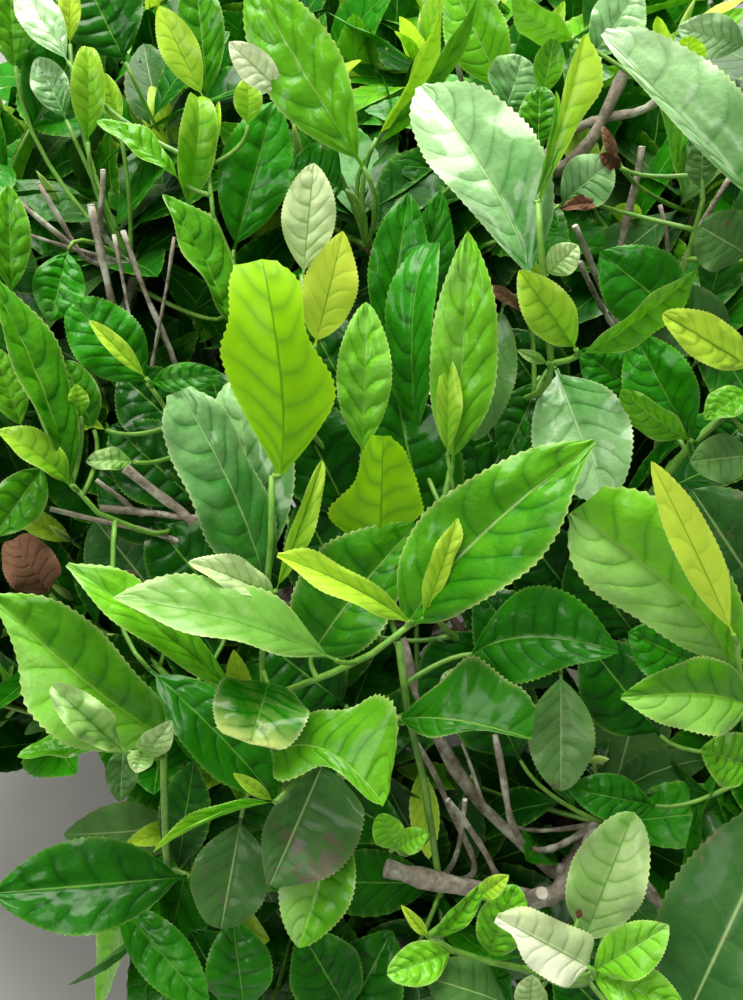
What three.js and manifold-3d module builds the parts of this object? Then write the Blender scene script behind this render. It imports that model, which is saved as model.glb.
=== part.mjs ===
// A tea bush, rooted in the ground: a short flared trunk, six arching boughs round an upright
// leader, side branches, and eighteen masses of foliage that fill a flattened dome.
// Millimetres, +Z up. The origin is on the ground, under the middle of the trunk.
import * as THREE from "three";
import { mergeVertices } from "three/addons/utils/BufferGeometryUtils.js";
import Module from "manifold-3d";

const wasm = await Module();
wasm.setup();
const { lerp } = THREE.MathUtils;

// Driving dimensions
const CROWN = { halfWidth: 445, halfDepth: 425, waist: 330, rise: 362, squareness: 2.3 };
const SKIRT_HEIGHT = 225; // the lowest twig tips of the skirt
const BARE_PATCH = { azimuth: 236, halfAngle: 13, below: 350 }; // no skirt there: the ground shows
const TRUNK = { height: 118, flareRadius: 46, neckRadius: 29, topRadius: 24, lean: [7, -5], sides: 20 };
const FLARE = { lobes: 5, depth: 0.16, heightShare: 1 / 3 }; // root lobes round the trunk's foot
const BOUGH = { footRadius: 13, tipRadius: 6, footHeights: [56, 76], bendRadius: 112, bendRise: 88 };
const LEADER = { footHeight: 100, footRadius: 14, tipRadius: 6.5, bend: [-16, 22, 300] };
const BRANCH = { footRadius: 8, tipRadius: 4.6, firstShare: 0.4, nextShare: 0.13, sag: 0.08 };
const TOP_BRANCH_SHARES = [0.5, 0.66]; // how far up the leader the two top branches leave it
const LIMB = { sides: 6, steps: 5, taper: 0.8 };
const GAP = 0.3; // between wood that meets, and between a limb and the mass it carries

// Where the masses sit, ring by ring: the middle of each, and the foot where its limb enters it.
const SKIRT_RING = { count: 9, azimuth: 4, radius: 350, height: 330, footRadius: 262, footHeight: 282 };
const SHOULDER_RING = { count: 6, azimuth: 20, radius: 255, height: 520, footRadius: 198, footHeight: 438 };
const TOP_RING = { count: 3, azimuth: 50, radius: 105, height: 605, footRadius: 72, footHeight: 512 };
const SCATTER = { azimuth: 5, centreHeight: 12, footHeight: 14, bendAzimuth: 9, bendRise: 8 };

// Foliage, in the larger-than-life leaves that stand for the real number
const TWIG_COUNT = 106;
const TOP_WEIGHT = 1.2; // over 1, twigs stand closer on the top of the crown than on its sides
const STEM = { sides: 5, steps: 2, firstTwig: 0.3, lastTwig: 0.99, taper: 0.92, straight: 40 };
const TWIG = { footRadius: 3.6, tipRadius: 2.4, sides: 3, steps: 2, tipDepth: 74, tipScatter: 24 };
const GROWTH = { rise: 0.6, outward: 0.75, bend: 0.45 }; // how a twig turns up near the outside
const LEAF_PLACE = { first: 0.36, last: 0.98, spread: [80, 32], spreadScatter: 7 };
const LEAF_SIZE = { first: 1.04, last: 0.74, scatter: 0.07 }; // from the foot of a twig to its tip
const LEAF = { length: 134, width: 72, widest: 0.45, fold: 7, keelDepth: 3, keelPlace: 0.12 };
const LEAVES_A_TWIG = 4;
const PETIOLE = 7; // the stretch of a leaf that may lie in its own twig
const TURNS_TO_TRY = 8;
const SIZES_TO_TRY = [1, 0.75, 0.55];
const PROBES = 8; // places along a twig or leaf where its room is tested
const CELL_CLEARANCE = 0.4; // from the plane that parts two masses
const LIMB_CLEARANCE = 4;
const LIMB_STRETCHES = 12; // short straight pieces that a limb is tested by
const GOLDEN_ANGLE = THREE.MathUtils.degToRad(137.5);
const SEED = { limbs: 3, tips: 11, foliage: 100 };
const UP = new THREE.Vector3(0, 0, 1);

// A small generator of random numbers, so that the bush grows the same way each time. Each call
// gives a number between minus and plus the reach that it is asked for.
function seeded(seed) {
  let state = Math.imul(seed + 1, 2654435761) >>> 0;
  return (reach) => {
    state = (Math.imul(state, 1664525) + 1013904223) >>> 0;
    return reach * ((2 * state) / 2 ** 32 - 1);
  };
}

// A point at an azimuth in degrees, a distance from the trunk's axis and a height.
function ringPoint(azimuth, radius, height) {
  const angle = THREE.MathUtils.degToRad(azimuth);
  return new THREE.Vector3(radius * Math.cos(angle), radius * Math.sin(angle), height);
}

// How far out a point lies, as a share of the crown's outline: 1 on the outline, less inside it.
function crownShare(point) {
  const across = Math.hypot(point.x / CROWN.halfWidth, point.y / CROWN.halfDepth);
  const up = Math.abs(point.z - CROWN.waist) / CROWN.rise;
  return (across ** CROWN.squareness + up ** CROWN.squareness) ** (1 / CROWN.squareness);
}

// Solids

const FINEST = 0.1; // steps smaller than this are smoothed away

function solidOf(geometry) {
  const bare = geometry.index ? geometry.toNonIndexed() : geometry.clone();
  bare.deleteAttribute("normal");
  bare.deleteAttribute("uv");
  const merged = mergeVertices(bare, 1e-3);
  const mesh = new wasm.Mesh({
    numProp: 3,
    vertProperties: merged.attributes.position.array,
    triVerts: new Uint32Array(merged.index.array),
  });
  return new wasm.Manifold(mesh);
}

function geometryOf(solid) {
  const mesh = solid.getMesh();
  const geometry = new THREE.BufferGeometry();
  geometry.setAttribute("position", new THREE.BufferAttribute(mesh.vertProperties, 3));
  geometry.setIndex(new THREE.BufferAttribute(mesh.triVerts, 1));
  geometry.computeVertexNormals();
  return geometry;
}

// The one outer body of a solid, at the precision of its mesh: loose scraps are dropped and
// sealed hollows filled.
function outerBody(solid) {
  const bodies = solidOf(geometryOf(solid.simplify(FINEST))).decompose();
  return bodies.reduce((best, body) => (body.volume() > best.volume() ? body : best));
}

// A tapered limb: a cylinder bent along a curve, with its radius given along the way.
function limbGeometry(curve, radiusAt, sides, steps) {
  const tube = new THREE.CylinderGeometry(1, 1, 1, sides, steps);
  const frames = curve.computeFrenetFrames(steps, false);
  const place = tube.getAttribute("position");
  for (let i = 0; i < place.count; i++) {
    const step = Math.round((place.getY(i) + 0.5) * steps);
    const radius = radiusAt(step / steps);
    const at = curve
      .getPointAt(step / steps)
      .addScaledVector(frames.normals[step], place.getX(i) * radius)
      .addScaledVector(frames.binormals[step], -place.getZ(i) * radius);
    place.setXYZ(i, at.x, at.y, at.z);
  }
  return tube;
}

// A point on the axis of a limb as it is built, which runs straight from step to step.
function axisPoint(curve, steps, t) {
  const step = Math.min(Math.floor(t * steps), steps - 1);
  const start = curve.getPointAt(step / steps);
  return start.lerp(curve.getPointAt((step + 1) / steps), t * steps - step);
}

// The trunk: a turned profile whose foot is drawn out into root lobes, leaning a little.
function trunkGeometry(grow = 0) {
  const { height, flareRadius, neckRadius, topRadius, lean, sides } = TRUNK;
  const profile = [
    [0, 0],
    [flareRadius, 0],
    [flareRadius * 0.86, height * 0.1],
    [neckRadius * 1.08, height * 0.3],
    [neckRadius, height * 0.55],
    [neckRadius * 0.96, height * 0.8],
    [topRadius, height * 0.94],
    [topRadius * 0.5, height],
    [0, height],
  ].map(([radius, level]) => new THREE.Vector2(radius && radius + grow, level && level + grow));
  const trunk = new THREE.LatheGeometry(profile, sides).rotateX(Math.PI / 2);
  const place = trunk.getAttribute("position");
  for (let i = 0; i < place.count; i++) {
    const [x, y, z] = [place.getX(i), place.getY(i), place.getZ(i)];
    const share = z / height;
    const drawnOut = FLARE.depth * Math.max(0, 1 - share / FLARE.heightShare);
    const lobe = 1 + drawnOut * Math.cos(FLARE.lobes * Math.atan2(y, x));
    place.setXYZ(i, x * lobe + lean[0] * share, y * lobe + lean[1] * share, z);
  }
  return trunk;
}

// The limbs: each is a curve, its two radii, and the mass that it ends in.

function limb(name, foot, bend, tip, footRadius, tipRadius) {
  const curve = new THREE.QuadraticBezierCurve3(foot, bend, tip);
  const radiusAt = (t) => footRadius + (tipRadius - footRadius) * t ** LIMB.taper;
  return { name, curve, radiusAt };
}

function trunkPoint(height) {
  const share = height / TRUNK.height;
  return new THREE.Vector3(TRUNK.lean[0] * share, TRUNK.lean[1] * share, height);
}

function ringOf(kind, ring, scatter) {
  return Array.from({ length: ring.count }, (_, k) => {
    const azimuth = ring.azimuth + (360 * k) / ring.count + scatter(SCATTER.azimuth);
    return {
      name: `${kind}_foliage_${k + 1}`,
      azimuth,
      centre: ringPoint(azimuth, ring.radius, ring.height + scatter(SCATTER.centreHeight)),
      foot: ringPoint(azimuth, ring.footRadius, ring.footHeight + scatter(SCATTER.footHeight)),
    };
  });
}

const scatter = seeded(SEED.limbs);
const skirt = ringOf("skirt", SKIRT_RING, scatter);
const shoulder = ringOf("shoulder", SHOULDER_RING, scatter);
const top = ringOf("top", TOP_RING, scatter);
const masses = [...shoulder, ...skirt, ...top];

const boughs = shoulder.map((mass, k) => {
  const foot = trunkPoint(BOUGH.footHeights[k % 2]);
  const rise = BOUGH.bendRise + scatter(SCATTER.bendRise);
  const azimuth = mass.azimuth + scatter(SCATTER.bendAzimuth);
  const bend = ringPoint(azimuth, BOUGH.bendRadius, foot.z + rise);
  return limb(`bough_${k + 1}`, foot, bend, mass.foot, BOUGH.footRadius, BOUGH.tipRadius);
});
const leader = limb(
  "leader",
  trunkPoint(LEADER.footHeight),
  new THREE.Vector3(...LEADER.bend),
  top[0].foot,
  LEADER.footRadius,
  LEADER.tipRadius,
);

// A branch that leaves a limb part of the way along it and arches out to a mass.
function branch(name, parent, share, mass) {
  const foot = parent.curve.getPointAt(share);
  const bend = foot.clone().lerp(mass.foot, 0.5);
  bend.z -= BRANCH.sag * foot.distanceTo(mass.foot);
  return limb(name, foot, bend, mass.foot, BRANCH.footRadius, BRANCH.tipRadius);
}

function turnBetween(a, b) {
  return Math.abs(((a - b + 540) % 360) - 180);
}

// Each skirt mass hangs on the nearest bough; the second branch of a bough leaves it higher up.
const skirtBranches = skirt.map((mass, k) => {
  const turns = shoulder.map((other) => turnBetween(other.azimuth, mass.azimuth));
  return { mass, number: k + 1, bough: turns.indexOf(Math.min(...turns)) };
});
const branches = skirtBranches.map(({ mass, number, bough }, k) => {
  const earlier = skirtBranches.slice(0, k).filter((other) => other.bough === bough).length;
  const share = BRANCH.firstShare + BRANCH.nextShare * earlier;
  return branch(`branch_${number}`, boughs[bough], share, mass);
});
const topBranches = TOP_BRANCH_SHARES.map((share, k) =>
  branch(`top_branch_${k + 1}`, leader, share, top[k + 1]),
);
const limbs = [leader, ...boughs, ...branches, ...topBranches];

// Foliage

// Whether points keep to their mass's own space: nearer its middle than any other mass's.
function keepsToCell(points, mass) {
  return points.every((point) =>
    masses.every((other) => {
      if (other === mass) return true;
      const apart = other.centre.distanceTo(mass.centre);
      const lead = point.distanceToSquared(other.centre) - point.distanceToSquared(mass.centre);
      return lead > 2 * apart * CELL_CLEARANCE;
    }),
  );
}

// Short straight stretches of every limb, for testing what would touch one.
const stretches = limbs.flatMap(({ curve, radiusAt }) => {
  const points = curve.getSpacedPoints(LIMB_STRETCHES);
  return points.slice(1).map((end, k) => ({
    line: new THREE.Line3(points[k], end),
    radius: radiusAt(k / LIMB_STRETCHES),
  }));
});

function clearsLimbs(points, margin) {
  const nearest = new THREE.Vector3();
  return points.every((point) =>
    stretches.every(({ line, radius }) => {
      line.closestPointToPoint(point, true, nearest);
      return nearest.distanceTo(point) > radius + margin;
    }),
  );
}

// Twig tips spread evenly over the dome, a little inside its outline, on a golden spiral.
function twigTips() {
  const chance = seeded(SEED.tips);
  const lowest = (SKIRT_HEIGHT - CROWN.waist) / CROWN.rise;
  const tips = [];
  for (let k = 0; k < TWIG_COUNT; k++) {
    const level = 1 - (1 - lowest) * ((k + 0.5) / TWIG_COUNT) ** TOP_WEIGHT;
    const turn = k * GOLDEN_ANGLE;
    const depth = TWIG.tipDepth + chance(TWIG.tipScatter);
    const across = Math.sqrt(1 - level * level);
    const tip = new THREE.Vector3(
      across * Math.cos(turn) * CROWN.halfWidth,
      across * Math.sin(turn) * CROWN.halfDepth,
      level * CROWN.rise,
    );
    tip.z += CROWN.waist;
    const share = crownShare(tip);
    tip.z -= CROWN.waist;
    tip.multiplyScalar((1 - depth / tip.length()) / share);
    tip.z += CROWN.waist;
    const azimuth = THREE.MathUtils.radToDeg(turn) % 360;
    const bare = turnBetween(azimuth, BARE_PATCH.azimuth) < BARE_PATCH.halfAngle;
    if (!(bare && tip.z < BARE_PATCH.below)) tips.push(tip);
  }
  return tips;
}

// The way a shoot grows at the crown's surface: outward there, and always turned up.
function growthAt(point) {
  const outward = new THREE.Vector3(
    point.x / CROWN.halfWidth,
    point.y / CROWN.halfDepth,
    (GROWTH.rise * (point.z - CROWN.waist)) / CROWN.rise,
  );
  return outward.normalize().multiplyScalar(GROWTH.outward).add(UP).normalize();
}

// A leaf of six faces, folded along its midrib: a sphere of three sides and two rows, whose poles
// are drawn out to the leaf's two edges, and its ring to the root, the keel under it, where the leaf
// is thick, and the tip.
function leafGeometry(root, along, facing, size) {
  const side = along.clone().cross(facing).normalize();
  const face = side.clone().cross(along).normalize();
  const [length, half] = [LEAF.length * size, (LEAF.width * size) / 2];
  const corner = (x, y, z) =>
    root.clone().addScaledVector(side, x).addScaledVector(along, y).addScaledVector(face, z);
  const right = corner(half, LEAF.widest * length, LEAF.fold);
  const left = corner(-half, LEAF.widest * length, LEAF.fold);
  const ring = [root, corner(0, LEAF.keelPlace * length, -LEAF.keelDepth), corner(0, length, 0)];
  const leaf = new THREE.SphereGeometry(1, 3, 2);
  const [place, uv] = [leaf.getAttribute("position"), leaf.getAttribute("uv")];
  for (let i = 0; i < place.count; i++) {
    const row = Math.round(place.getY(i));
    const at = row ? { 1: right, "-1": left }[row] : ring[Math.round(uv.getX(i) * 3) % 3];
    place.setXYZ(i, at.x, at.y, at.z);
  }
  return leaf;
}

function leafProbes(root, along, facing, size) {
  const side = along.clone().cross(facing).normalize();
  const face = side.clone().cross(along).normalize();
  const probes = [];
  for (let step = 1; step <= PROBES; step++) {
    const share = step / PROBES;
    const half = LEAF.width * size * 0.5 * Math.min(share / LEAF.widest, (1 - share) / (1 - LEAF.widest));
    for (const edge of [-1, 0, 1]) {
      const probe = root.clone().addScaledVector(along, LEAF.length * size * share);
      probes.push(probe.addScaledVector(side, edge * half).addScaledVector(face, LEAF.fold / 2));
    }
  }
  return probes;
}

// The leaves of a twig, turned by the golden angle from one to the next and drawn up towards its
// tip. A leaf that would leave its space, touch a limb or cross what is there already is tried
// further round the twig, then smaller, and then left out. Returns what was there with the new
// leaves fused on.
function withLeaves(grown, curve, mass, chance) {
  let turn = chance(Math.PI);
  for (let k = 0; k <= LEAVES_A_TWIG; k++) {
    const share = k / LEAVES_A_TWIG;
    const t = lerp(LEAF_PLACE.first, LEAF_PLACE.last, share);
    const root = axisPoint(curve, TWIG.steps, t);
    const axis = curve.getTangentAt(t);
    const level = new THREE.Vector3().crossVectors(axis, UP).normalize();
    const drawnUp = lerp(...LEAF_PLACE.spread, share) + chance(LEAF_PLACE.spreadScatter);
    const spread = THREE.MathUtils.degToRad(drawnUp);
    const fullSize = lerp(LEAF_SIZE.first, LEAF_SIZE.last, share) + chance(LEAF_SIZE.scatter);
    for (let tries = 0; tries < SIZES_TO_TRY.length * TURNS_TO_TRY; tries++) {
      const size = fullSize * SIZES_TO_TRY[Math.floor(tries / TURNS_TO_TRY)];
      const aside = level.clone().applyAxisAngle(axis, turn + (tries * 2 * Math.PI) / TURNS_TO_TRY);
      const along = axis.clone().multiplyScalar(Math.cos(spread));
      along.addScaledVector(aside, Math.sin(spread)).normalize();
      const probes = leafProbes(root, along, axis, size);
      if (!keepsToCell(probes, mass) || !clearsLimbs(probes, LIMB_CLEARANCE)) continue;
      const blade = root.clone().addScaledVector(along, PETIOLE);
      const bladeSize = size - PETIOLE / LEAF.length;
      if (!grown.intersect(solidOf(leafGeometry(blade, along, axis, bladeSize))).isEmpty()) continue;
      grown = grown.add(solidOf(leafGeometry(root, along, axis, size)));
      break;
    }
    turn += GOLDEN_ANGLE;
  }
  return grown;
}

// A twig from the stem of its mass to its tip, turning up as it nears the outside.
function twigCurve(foot, tip) {
  const reach = foot.distanceTo(tip);
  const bend = tip.clone().addScaledVector(growthAt(tip), -GROWTH.bend * reach);
  return new THREE.QuadraticBezierCurve3(foot, bend, tip);
}

function massStem(mass, carrier) {
  const start = mass.foot.clone().addScaledVector(carrier.curve.getTangentAt(1), GAP);
  const bend = start.clone().addScaledVector(carrier.curve.getTangentAt(1), STEM.straight);
  const stem = new THREE.QuadraticBezierCurve3(start, bend, mass.centre);
  return { curve: stem, footRadius: carrier.radiusAt(1) * STEM.taper };
}

function foliage(mass, carrier, tips, number) {
  const chance = seeded(SEED.foliage + number);
  const stem = massStem(mass, carrier);
  const stemRadius = (t) => stem.footRadius + (TWIG.footRadius - stem.footRadius) * t;
  let grown = solidOf(limbGeometry(stem.curve, stemRadius, STEM.sides, STEM.steps));
  const ahead = stem.curve.getTangentAt(1);
  const sorted = tips
    .map((tip) => ({ tip, off: tip.clone().sub(mass.foot).angleTo(ahead) }))
    .sort((a, b) => b.off - a.off);
  const twigs = sorted
    .map(({ tip }, k) => {
      const share = lerp(STEM.firstTwig, STEM.lastTwig, (k + 1) / sorted.length);
      return twigCurve(axisPoint(stem.curve, STEM.steps, share), tip);
    })
    .filter((curve) => {
      const course = curve.getSpacedPoints(PROBES);
      return keepsToCell(course, mass) && clearsLimbs(course.slice(1), LIMB_CLEARANCE);
    });
  const twigRadius = (t) => TWIG.footRadius + (TWIG.tipRadius - TWIG.footRadius) * t;
  for (const curve of twigs) {
    grown = grown.add(solidOf(limbGeometry(curve, twigRadius, TWIG.sides, TWIG.steps)));
  }
  for (const curve of twigs) grown = withLeaves(grown, curve, mass, chance);
  return outerBody(grown);
}

// Assembly

const bark = new THREE.MeshStandardMaterial({ color: 0x7d6f5f, roughness: 0.9, metalness: 0 });
const leafGreen = new THREE.MeshStandardMaterial({ color: 0x3f8f2f, roughness: 0.4, metalness: 0 });
const bush = new THREE.Group();

function place(name, solid, material) {
  const mesh = new THREE.Mesh(geometryOf(solid), material);
  mesh.name = name;
  bush.add(mesh);
}

// Wood is cut clear of the wood that it grows from, so that the two meet a small gap apart.
let woodSoFar = solidOf(trunkGeometry(GAP));
place("trunk", solidOf(trunkGeometry()), bark);
for (const { name, curve, radiusAt } of limbs) {
  const raw = solidOf(limbGeometry(curve, radiusAt, LIMB.sides, LIMB.steps));
  const grown = solidOf(limbGeometry(curve, (t) => radiusAt(t) + GAP, LIMB.sides, LIMB.steps));
  place(name, outerBody(raw.subtract(woodSoFar)), bark);
  woodSoFar = woodSoFar.add(grown);
}

const carriers = new Map();
shoulder.forEach((mass, k) => carriers.set(mass, boughs[k]));
skirt.forEach((mass, k) => carriers.set(mass, branches[k]));
[leader, ...topBranches].forEach((carrier, k) => carriers.set(top[k], carrier));

const tipsOf = new Map(masses.map((mass) => [mass, []]));
for (const tip of twigTips()) {
  const nearest = masses.reduce((best, mass) =>
    tip.distanceTo(mass.centre) < tip.distanceTo(best.centre) ? mass : best,
  );
  tipsOf.get(nearest).push(tip);
}
masses.forEach((mass, number) => {
  place(mass.name, foliage(mass, carriers.get(mass), tipsOf.get(mass), number), leafGreen);
});

export default bush;
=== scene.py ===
import math
from collections import namedtuple
from functools import partial

import bpy
import numpy as np
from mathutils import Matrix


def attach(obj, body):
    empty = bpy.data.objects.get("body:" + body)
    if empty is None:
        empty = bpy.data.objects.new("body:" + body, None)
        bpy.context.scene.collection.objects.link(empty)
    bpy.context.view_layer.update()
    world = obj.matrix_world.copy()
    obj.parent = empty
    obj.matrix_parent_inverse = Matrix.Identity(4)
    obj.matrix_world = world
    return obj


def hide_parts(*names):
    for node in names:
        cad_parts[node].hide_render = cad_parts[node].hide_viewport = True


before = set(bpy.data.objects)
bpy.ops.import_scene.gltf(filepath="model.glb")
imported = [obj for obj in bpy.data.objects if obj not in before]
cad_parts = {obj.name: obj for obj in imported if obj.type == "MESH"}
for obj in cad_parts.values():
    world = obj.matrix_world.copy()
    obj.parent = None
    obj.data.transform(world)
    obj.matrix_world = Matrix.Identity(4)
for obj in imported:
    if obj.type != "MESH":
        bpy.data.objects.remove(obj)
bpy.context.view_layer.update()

# Camera
# The photograph is taken by hand, from 0.825 m above the ground and an arm's length in front of
# the bush, looking down on the front shoulder of its crown.
EYE = np.array([-0.020, -0.627, 0.825])
LOOKING_DOWN = math.radians(41.5)
PHOTO_WIDTH, PHOTO_HEIGHT = 743, 1000
LENS_MM, FILM_HEIGHT_MM = 36, 36
AHEAD = np.array([0, math.cos(LOOKING_DOWN), -math.sin(LOOKING_DOWN)])
RIGHTWARD = np.array([1.0, 0, 0])
UPWARD = np.cross(RIGHTWARD, AHEAD)
PIXELS_A_UNIT = PHOTO_HEIGHT * LENS_MM / FILM_HEIGHT_MM
METRE = 1000  # in mm

bpy.ops.object.camera_add(location=EYE, rotation=(math.pi / 2 - LOOKING_DOWN, 0, 0))
camera = bpy.context.object
camera.data.sensor_fit = "VERTICAL"
camera.data.sensor_height = FILM_HEIGHT_MM
camera.data.lens = LENS_MM
bpy.context.scene.camera = camera


def at_pixel(x, y, depth_mm):
    """The point seen at a pixel of the photograph, at a depth along the camera's axis."""
    across = (x - PHOTO_WIDTH / 2) / PIXELS_A_UNIT
    up = (PHOTO_HEIGHT / 2 - y) / PIXELS_A_UNIT
    return EYE + depth_mm / METRE * (AHEAD + across * RIGHTWARD + up * UPWARD)


def pixel_of(point):
    """The pixel and the depth in millimetres that a point is seen at."""
    depth = (point - EYE) @ AHEAD
    x = PHOTO_WIDTH / 2 + PIXELS_A_UNIT * ((point - EYE) @ RIGHTWARD) / depth
    y = PHOTO_HEIGHT / 2 - PIXELS_A_UNIT * ((point - EYE) @ UPWARD) / depth
    return x, y, depth * METRE


# Trunk, leader, boughs and branches
# The bush stands on one short trunk, flared into root lobes at the ground, out of which six boughs
# arch round an upright leader. Branches of these carry the skirt and the top. All of it is one
# skin of rough grey-brown bark with pale lichen, which grows by the same rule as the solids.
TRUNK = {"height": 0.118, "flare": 0.046, "neck": 0.029, "top": 0.024, "lean": (0.007, -0.005)}
TRUNK_PROFILE = (
    (1.0, 0.0), (0.86, 0.1), (0.68, 0.3), (0.63, 0.55), (0.605, 0.8), (0.52, 0.94), (0.26, 1.0)
)  # radius as a share of the flare's, at a share of the height
FLARE = {"lobes": 5, "depth": 0.16, "height_share": 1 / 3}
BOUGH = {"foot": 0.013, "tip": 0.006, "heights": (0.056, 0.076), "bend": 0.112, "rise": 0.088}
LEADER = {"height": 0.100, "foot": 0.014, "tip": 0.0065, "bend": (-0.016, 0.022, 0.300)}
BRANCH = {"foot": 0.008, "tip": 0.0046, "first": 0.4, "next": 0.13, "sag": 0.08}
TOP_BRANCH_SHARES = (0.5, 0.66)
SKIRT_RING = {"count": 9, "azimuth": 4, "radius": 0.350, "height": 0.330, "foot": (0.262, 0.282)}
SHOULDER_RING = {"count": 6, "azimuth": 20, "radius": 0.255, "height": 0.520, "foot": (0.198, 0.438)}
TOP_RING = {"count": 3, "azimuth": 50, "radius": 0.105, "height": 0.605, "foot": (0.072, 0.512)}
SCATTER = {"azimuth": 5, "centre": 0.012, "foot": 0.014, "bend_azimuth": 9, "rise": 0.008}
BARK_GRAIN = 0.0021  # the size of the facets that the bark's relief is made of
SWELLINGS, CRACKS = (0.030, 0.0024), (0.006, 0.0016)  # the relief's size across, and its height
COURSE_STEPS = 201  # along which the length of an arch is measured
ROUND_TRUNK, ROUND_LIMB, LIMB_STEPS = 40, 3, 24
UP = np.array([0.0, 0, 1])
Limb = namedtuple("Limb", "foot bend tip foot_radius tip_radius")


def seeded(seed):
    """A small generator of random numbers from minus to plus the reach that it is asked for."""
    state = ((seed + 1) * 2654435761) % 2**32

    def scatter(reach):
        nonlocal state
        state = (state * 1664525 + 1013904223) % 2**32
        return reach * (2 * state / 2**32 - 1)

    return scatter


def unit(vector):
    return vector / np.linalg.norm(vector, axis=-1, keepdims=True)


def turned(first, second, angle):
    """The direction at an angle from the first towards the second, which is square to it."""
    return first * math.cos(angle) + second * math.sin(angle)


def ring_point(azimuth, radius, height):
    angle = math.radians(azimuth)
    return np.array([radius * math.cos(angle), radius * math.sin(angle), height])


def arch(foot, bend, tip, shares):
    """Points at shares of the length of a curve that leaves foot towards bend and ends in tip."""
    t = np.linspace(0, 1, COURSE_STEPS)[:, None]
    course = (1 - t) ** 2 * foot + 2 * t * (1 - t) * bend + t**2 * tip
    run = np.r_[0, np.cumsum(np.linalg.norm(np.diff(course, axis=0), axis=1))]
    t = np.interp(np.atleast_1d(shares) * run[-1], run, t[:, 0])[:, None]
    return (1 - t) ** 2 * foot + 2 * t * (1 - t) * bend + t**2 * tip


def trunk_point(height):
    share = height / TRUNK["height"]
    return np.array([TRUNK["lean"][0] * share, TRUNK["lean"][1] * share, height])


def ring_of(kind, ring, scatter):
    masses = []
    for k in range(ring["count"]):
        azimuth = ring["azimuth"] + 360 * k / ring["count"] + scatter(SCATTER["azimuth"])
        centre = ring_point(azimuth, ring["radius"], ring["height"] + scatter(SCATTER["centre"]))
        foot_radius, foot_height = ring["foot"]
        foot = ring_point(azimuth, foot_radius, foot_height + scatter(SCATTER["foot"]))
        name = f"{kind}_foliage_{k + 1}"
        masses.append({"name": name, "azimuth": azimuth, "centre": centre, "foot": foot})
    return masses


scatter = seeded(3)
skirt = ring_of("skirt", SKIRT_RING, scatter)
shoulder = ring_of("shoulder", SHOULDER_RING, scatter)
top = ring_of("top", TOP_RING, scatter)
masses = [*shoulder, *skirt, *top]

boughs = []
for k, mass in enumerate(shoulder):
    foot = trunk_point(BOUGH["heights"][k % 2])
    rise = BOUGH["rise"] + scatter(SCATTER["rise"])
    azimuth = mass["azimuth"] + scatter(SCATTER["bend_azimuth"])
    bend = ring_point(azimuth, BOUGH["bend"], foot[2] + rise)
    boughs.append(Limb(foot, bend, mass["foot"], BOUGH["foot"], BOUGH["tip"]))
leader_foot, leader_bend = trunk_point(LEADER["height"]), np.array(LEADER["bend"])
leader = Limb(leader_foot, leader_bend, top[0]["foot"], LEADER["foot"], LEADER["tip"])


def branch(parent, share, mass):
    foot = arch(*parent[:3], share)[0]
    bend = (foot + mass["foot"]) / 2
    bend[2] -= BRANCH["sag"] * np.linalg.norm(mass["foot"] - foot)
    return Limb(foot, bend, mass["foot"], BRANCH["foot"], BRANCH["tip"])


def turn_between(a, b):
    return abs((a - b + 540) % 360 - 180)


branches = []
taken = [0] * len(boughs)
for mass in skirt:
    turns = [turn_between(other["azimuth"], mass["azimuth"]) for other in shoulder]
    nearest = turns.index(min(turns))
    share = BRANCH["first"] + BRANCH["next"] * taken[nearest]
    taken[nearest] += 1
    branches.append(branch(boughs[nearest], share, mass))
top_branches = [branch(leader, share, top[k + 1]) for k, share in enumerate(TOP_BRANCH_SHARES)]
limbs = [leader, *boughs, *branches, *top_branches]
carriers = [*boughs, *branches, leader, *top_branches]  # in the order of the masses


def make_trunk():
    bpy.ops.object.select_all(action="DESELECT")
    bpy.ops.mesh.primitive_circle_add(vertices=ROUND_TRUNK, radius=TRUNK["flare"], fill_type="NGON")
    trunk = bpy.context.object
    bpy.ops.object.mode_set(mode="EDIT")
    for (radius, level), (next_radius, next_level) in zip(TRUNK_PROFILE, TRUNK_PROFILE[1:]):
        step = (next_level - level) * TRUNK["height"]
        bpy.ops.mesh.extrude_region_move(TRANSFORM_OT_translate={"value": (0, 0, step)})
        bpy.ops.transform.resize(value=(next_radius / radius, next_radius / radius, 1))
    bpy.ops.object.mode_set(mode="OBJECT")
    for vertex in trunk.data.vertices:
        x, y, z = vertex.co
        share = z / TRUNK["height"]
        drawn_out = FLARE["depth"] * max(0, 1 - share / FLARE["height_share"])
        lobe = 1 + drawn_out * math.cos(FLARE["lobes"] * math.atan2(y, x))
        vertex.co = (x * lobe + TRUNK["lean"][0] * share, y * lobe + TRUNK["lean"][1] * share, z)
    return trunk


def make_limb(foot, bend, tip, foot_radius, tip_radius):
    """A closed tapered tube along an arch, with the curve's handles two thirds of the way to its bend."""
    bpy.ops.curve.primitive_bezier_curve_add()
    limb = bpy.context.object
    first, last = limb.data.splines[0].bezier_points
    for point in (first, last):
        point.handle_left_type = point.handle_right_type = "FREE"
    first.co, first.handle_right, first.radius = foot, foot + (bend - foot) * 2 / 3, foot_radius
    first.handle_left = 2 * first.co - first.handle_right
    last.co, last.handle_left, last.radius = tip, tip + (bend - tip) * 2 / 3, tip_radius
    last.handle_right = 2 * last.co - last.handle_left
    limb.data.bevel_depth = 1  # times the radius at each end
    limb.data.bevel_resolution = ROUND_LIMB
    limb.data.resolution_u = LIMB_STEPS
    limb.data.use_fill_caps = True
    bpy.ops.object.convert(target="MESH")
    return bpy.context.object


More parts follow.
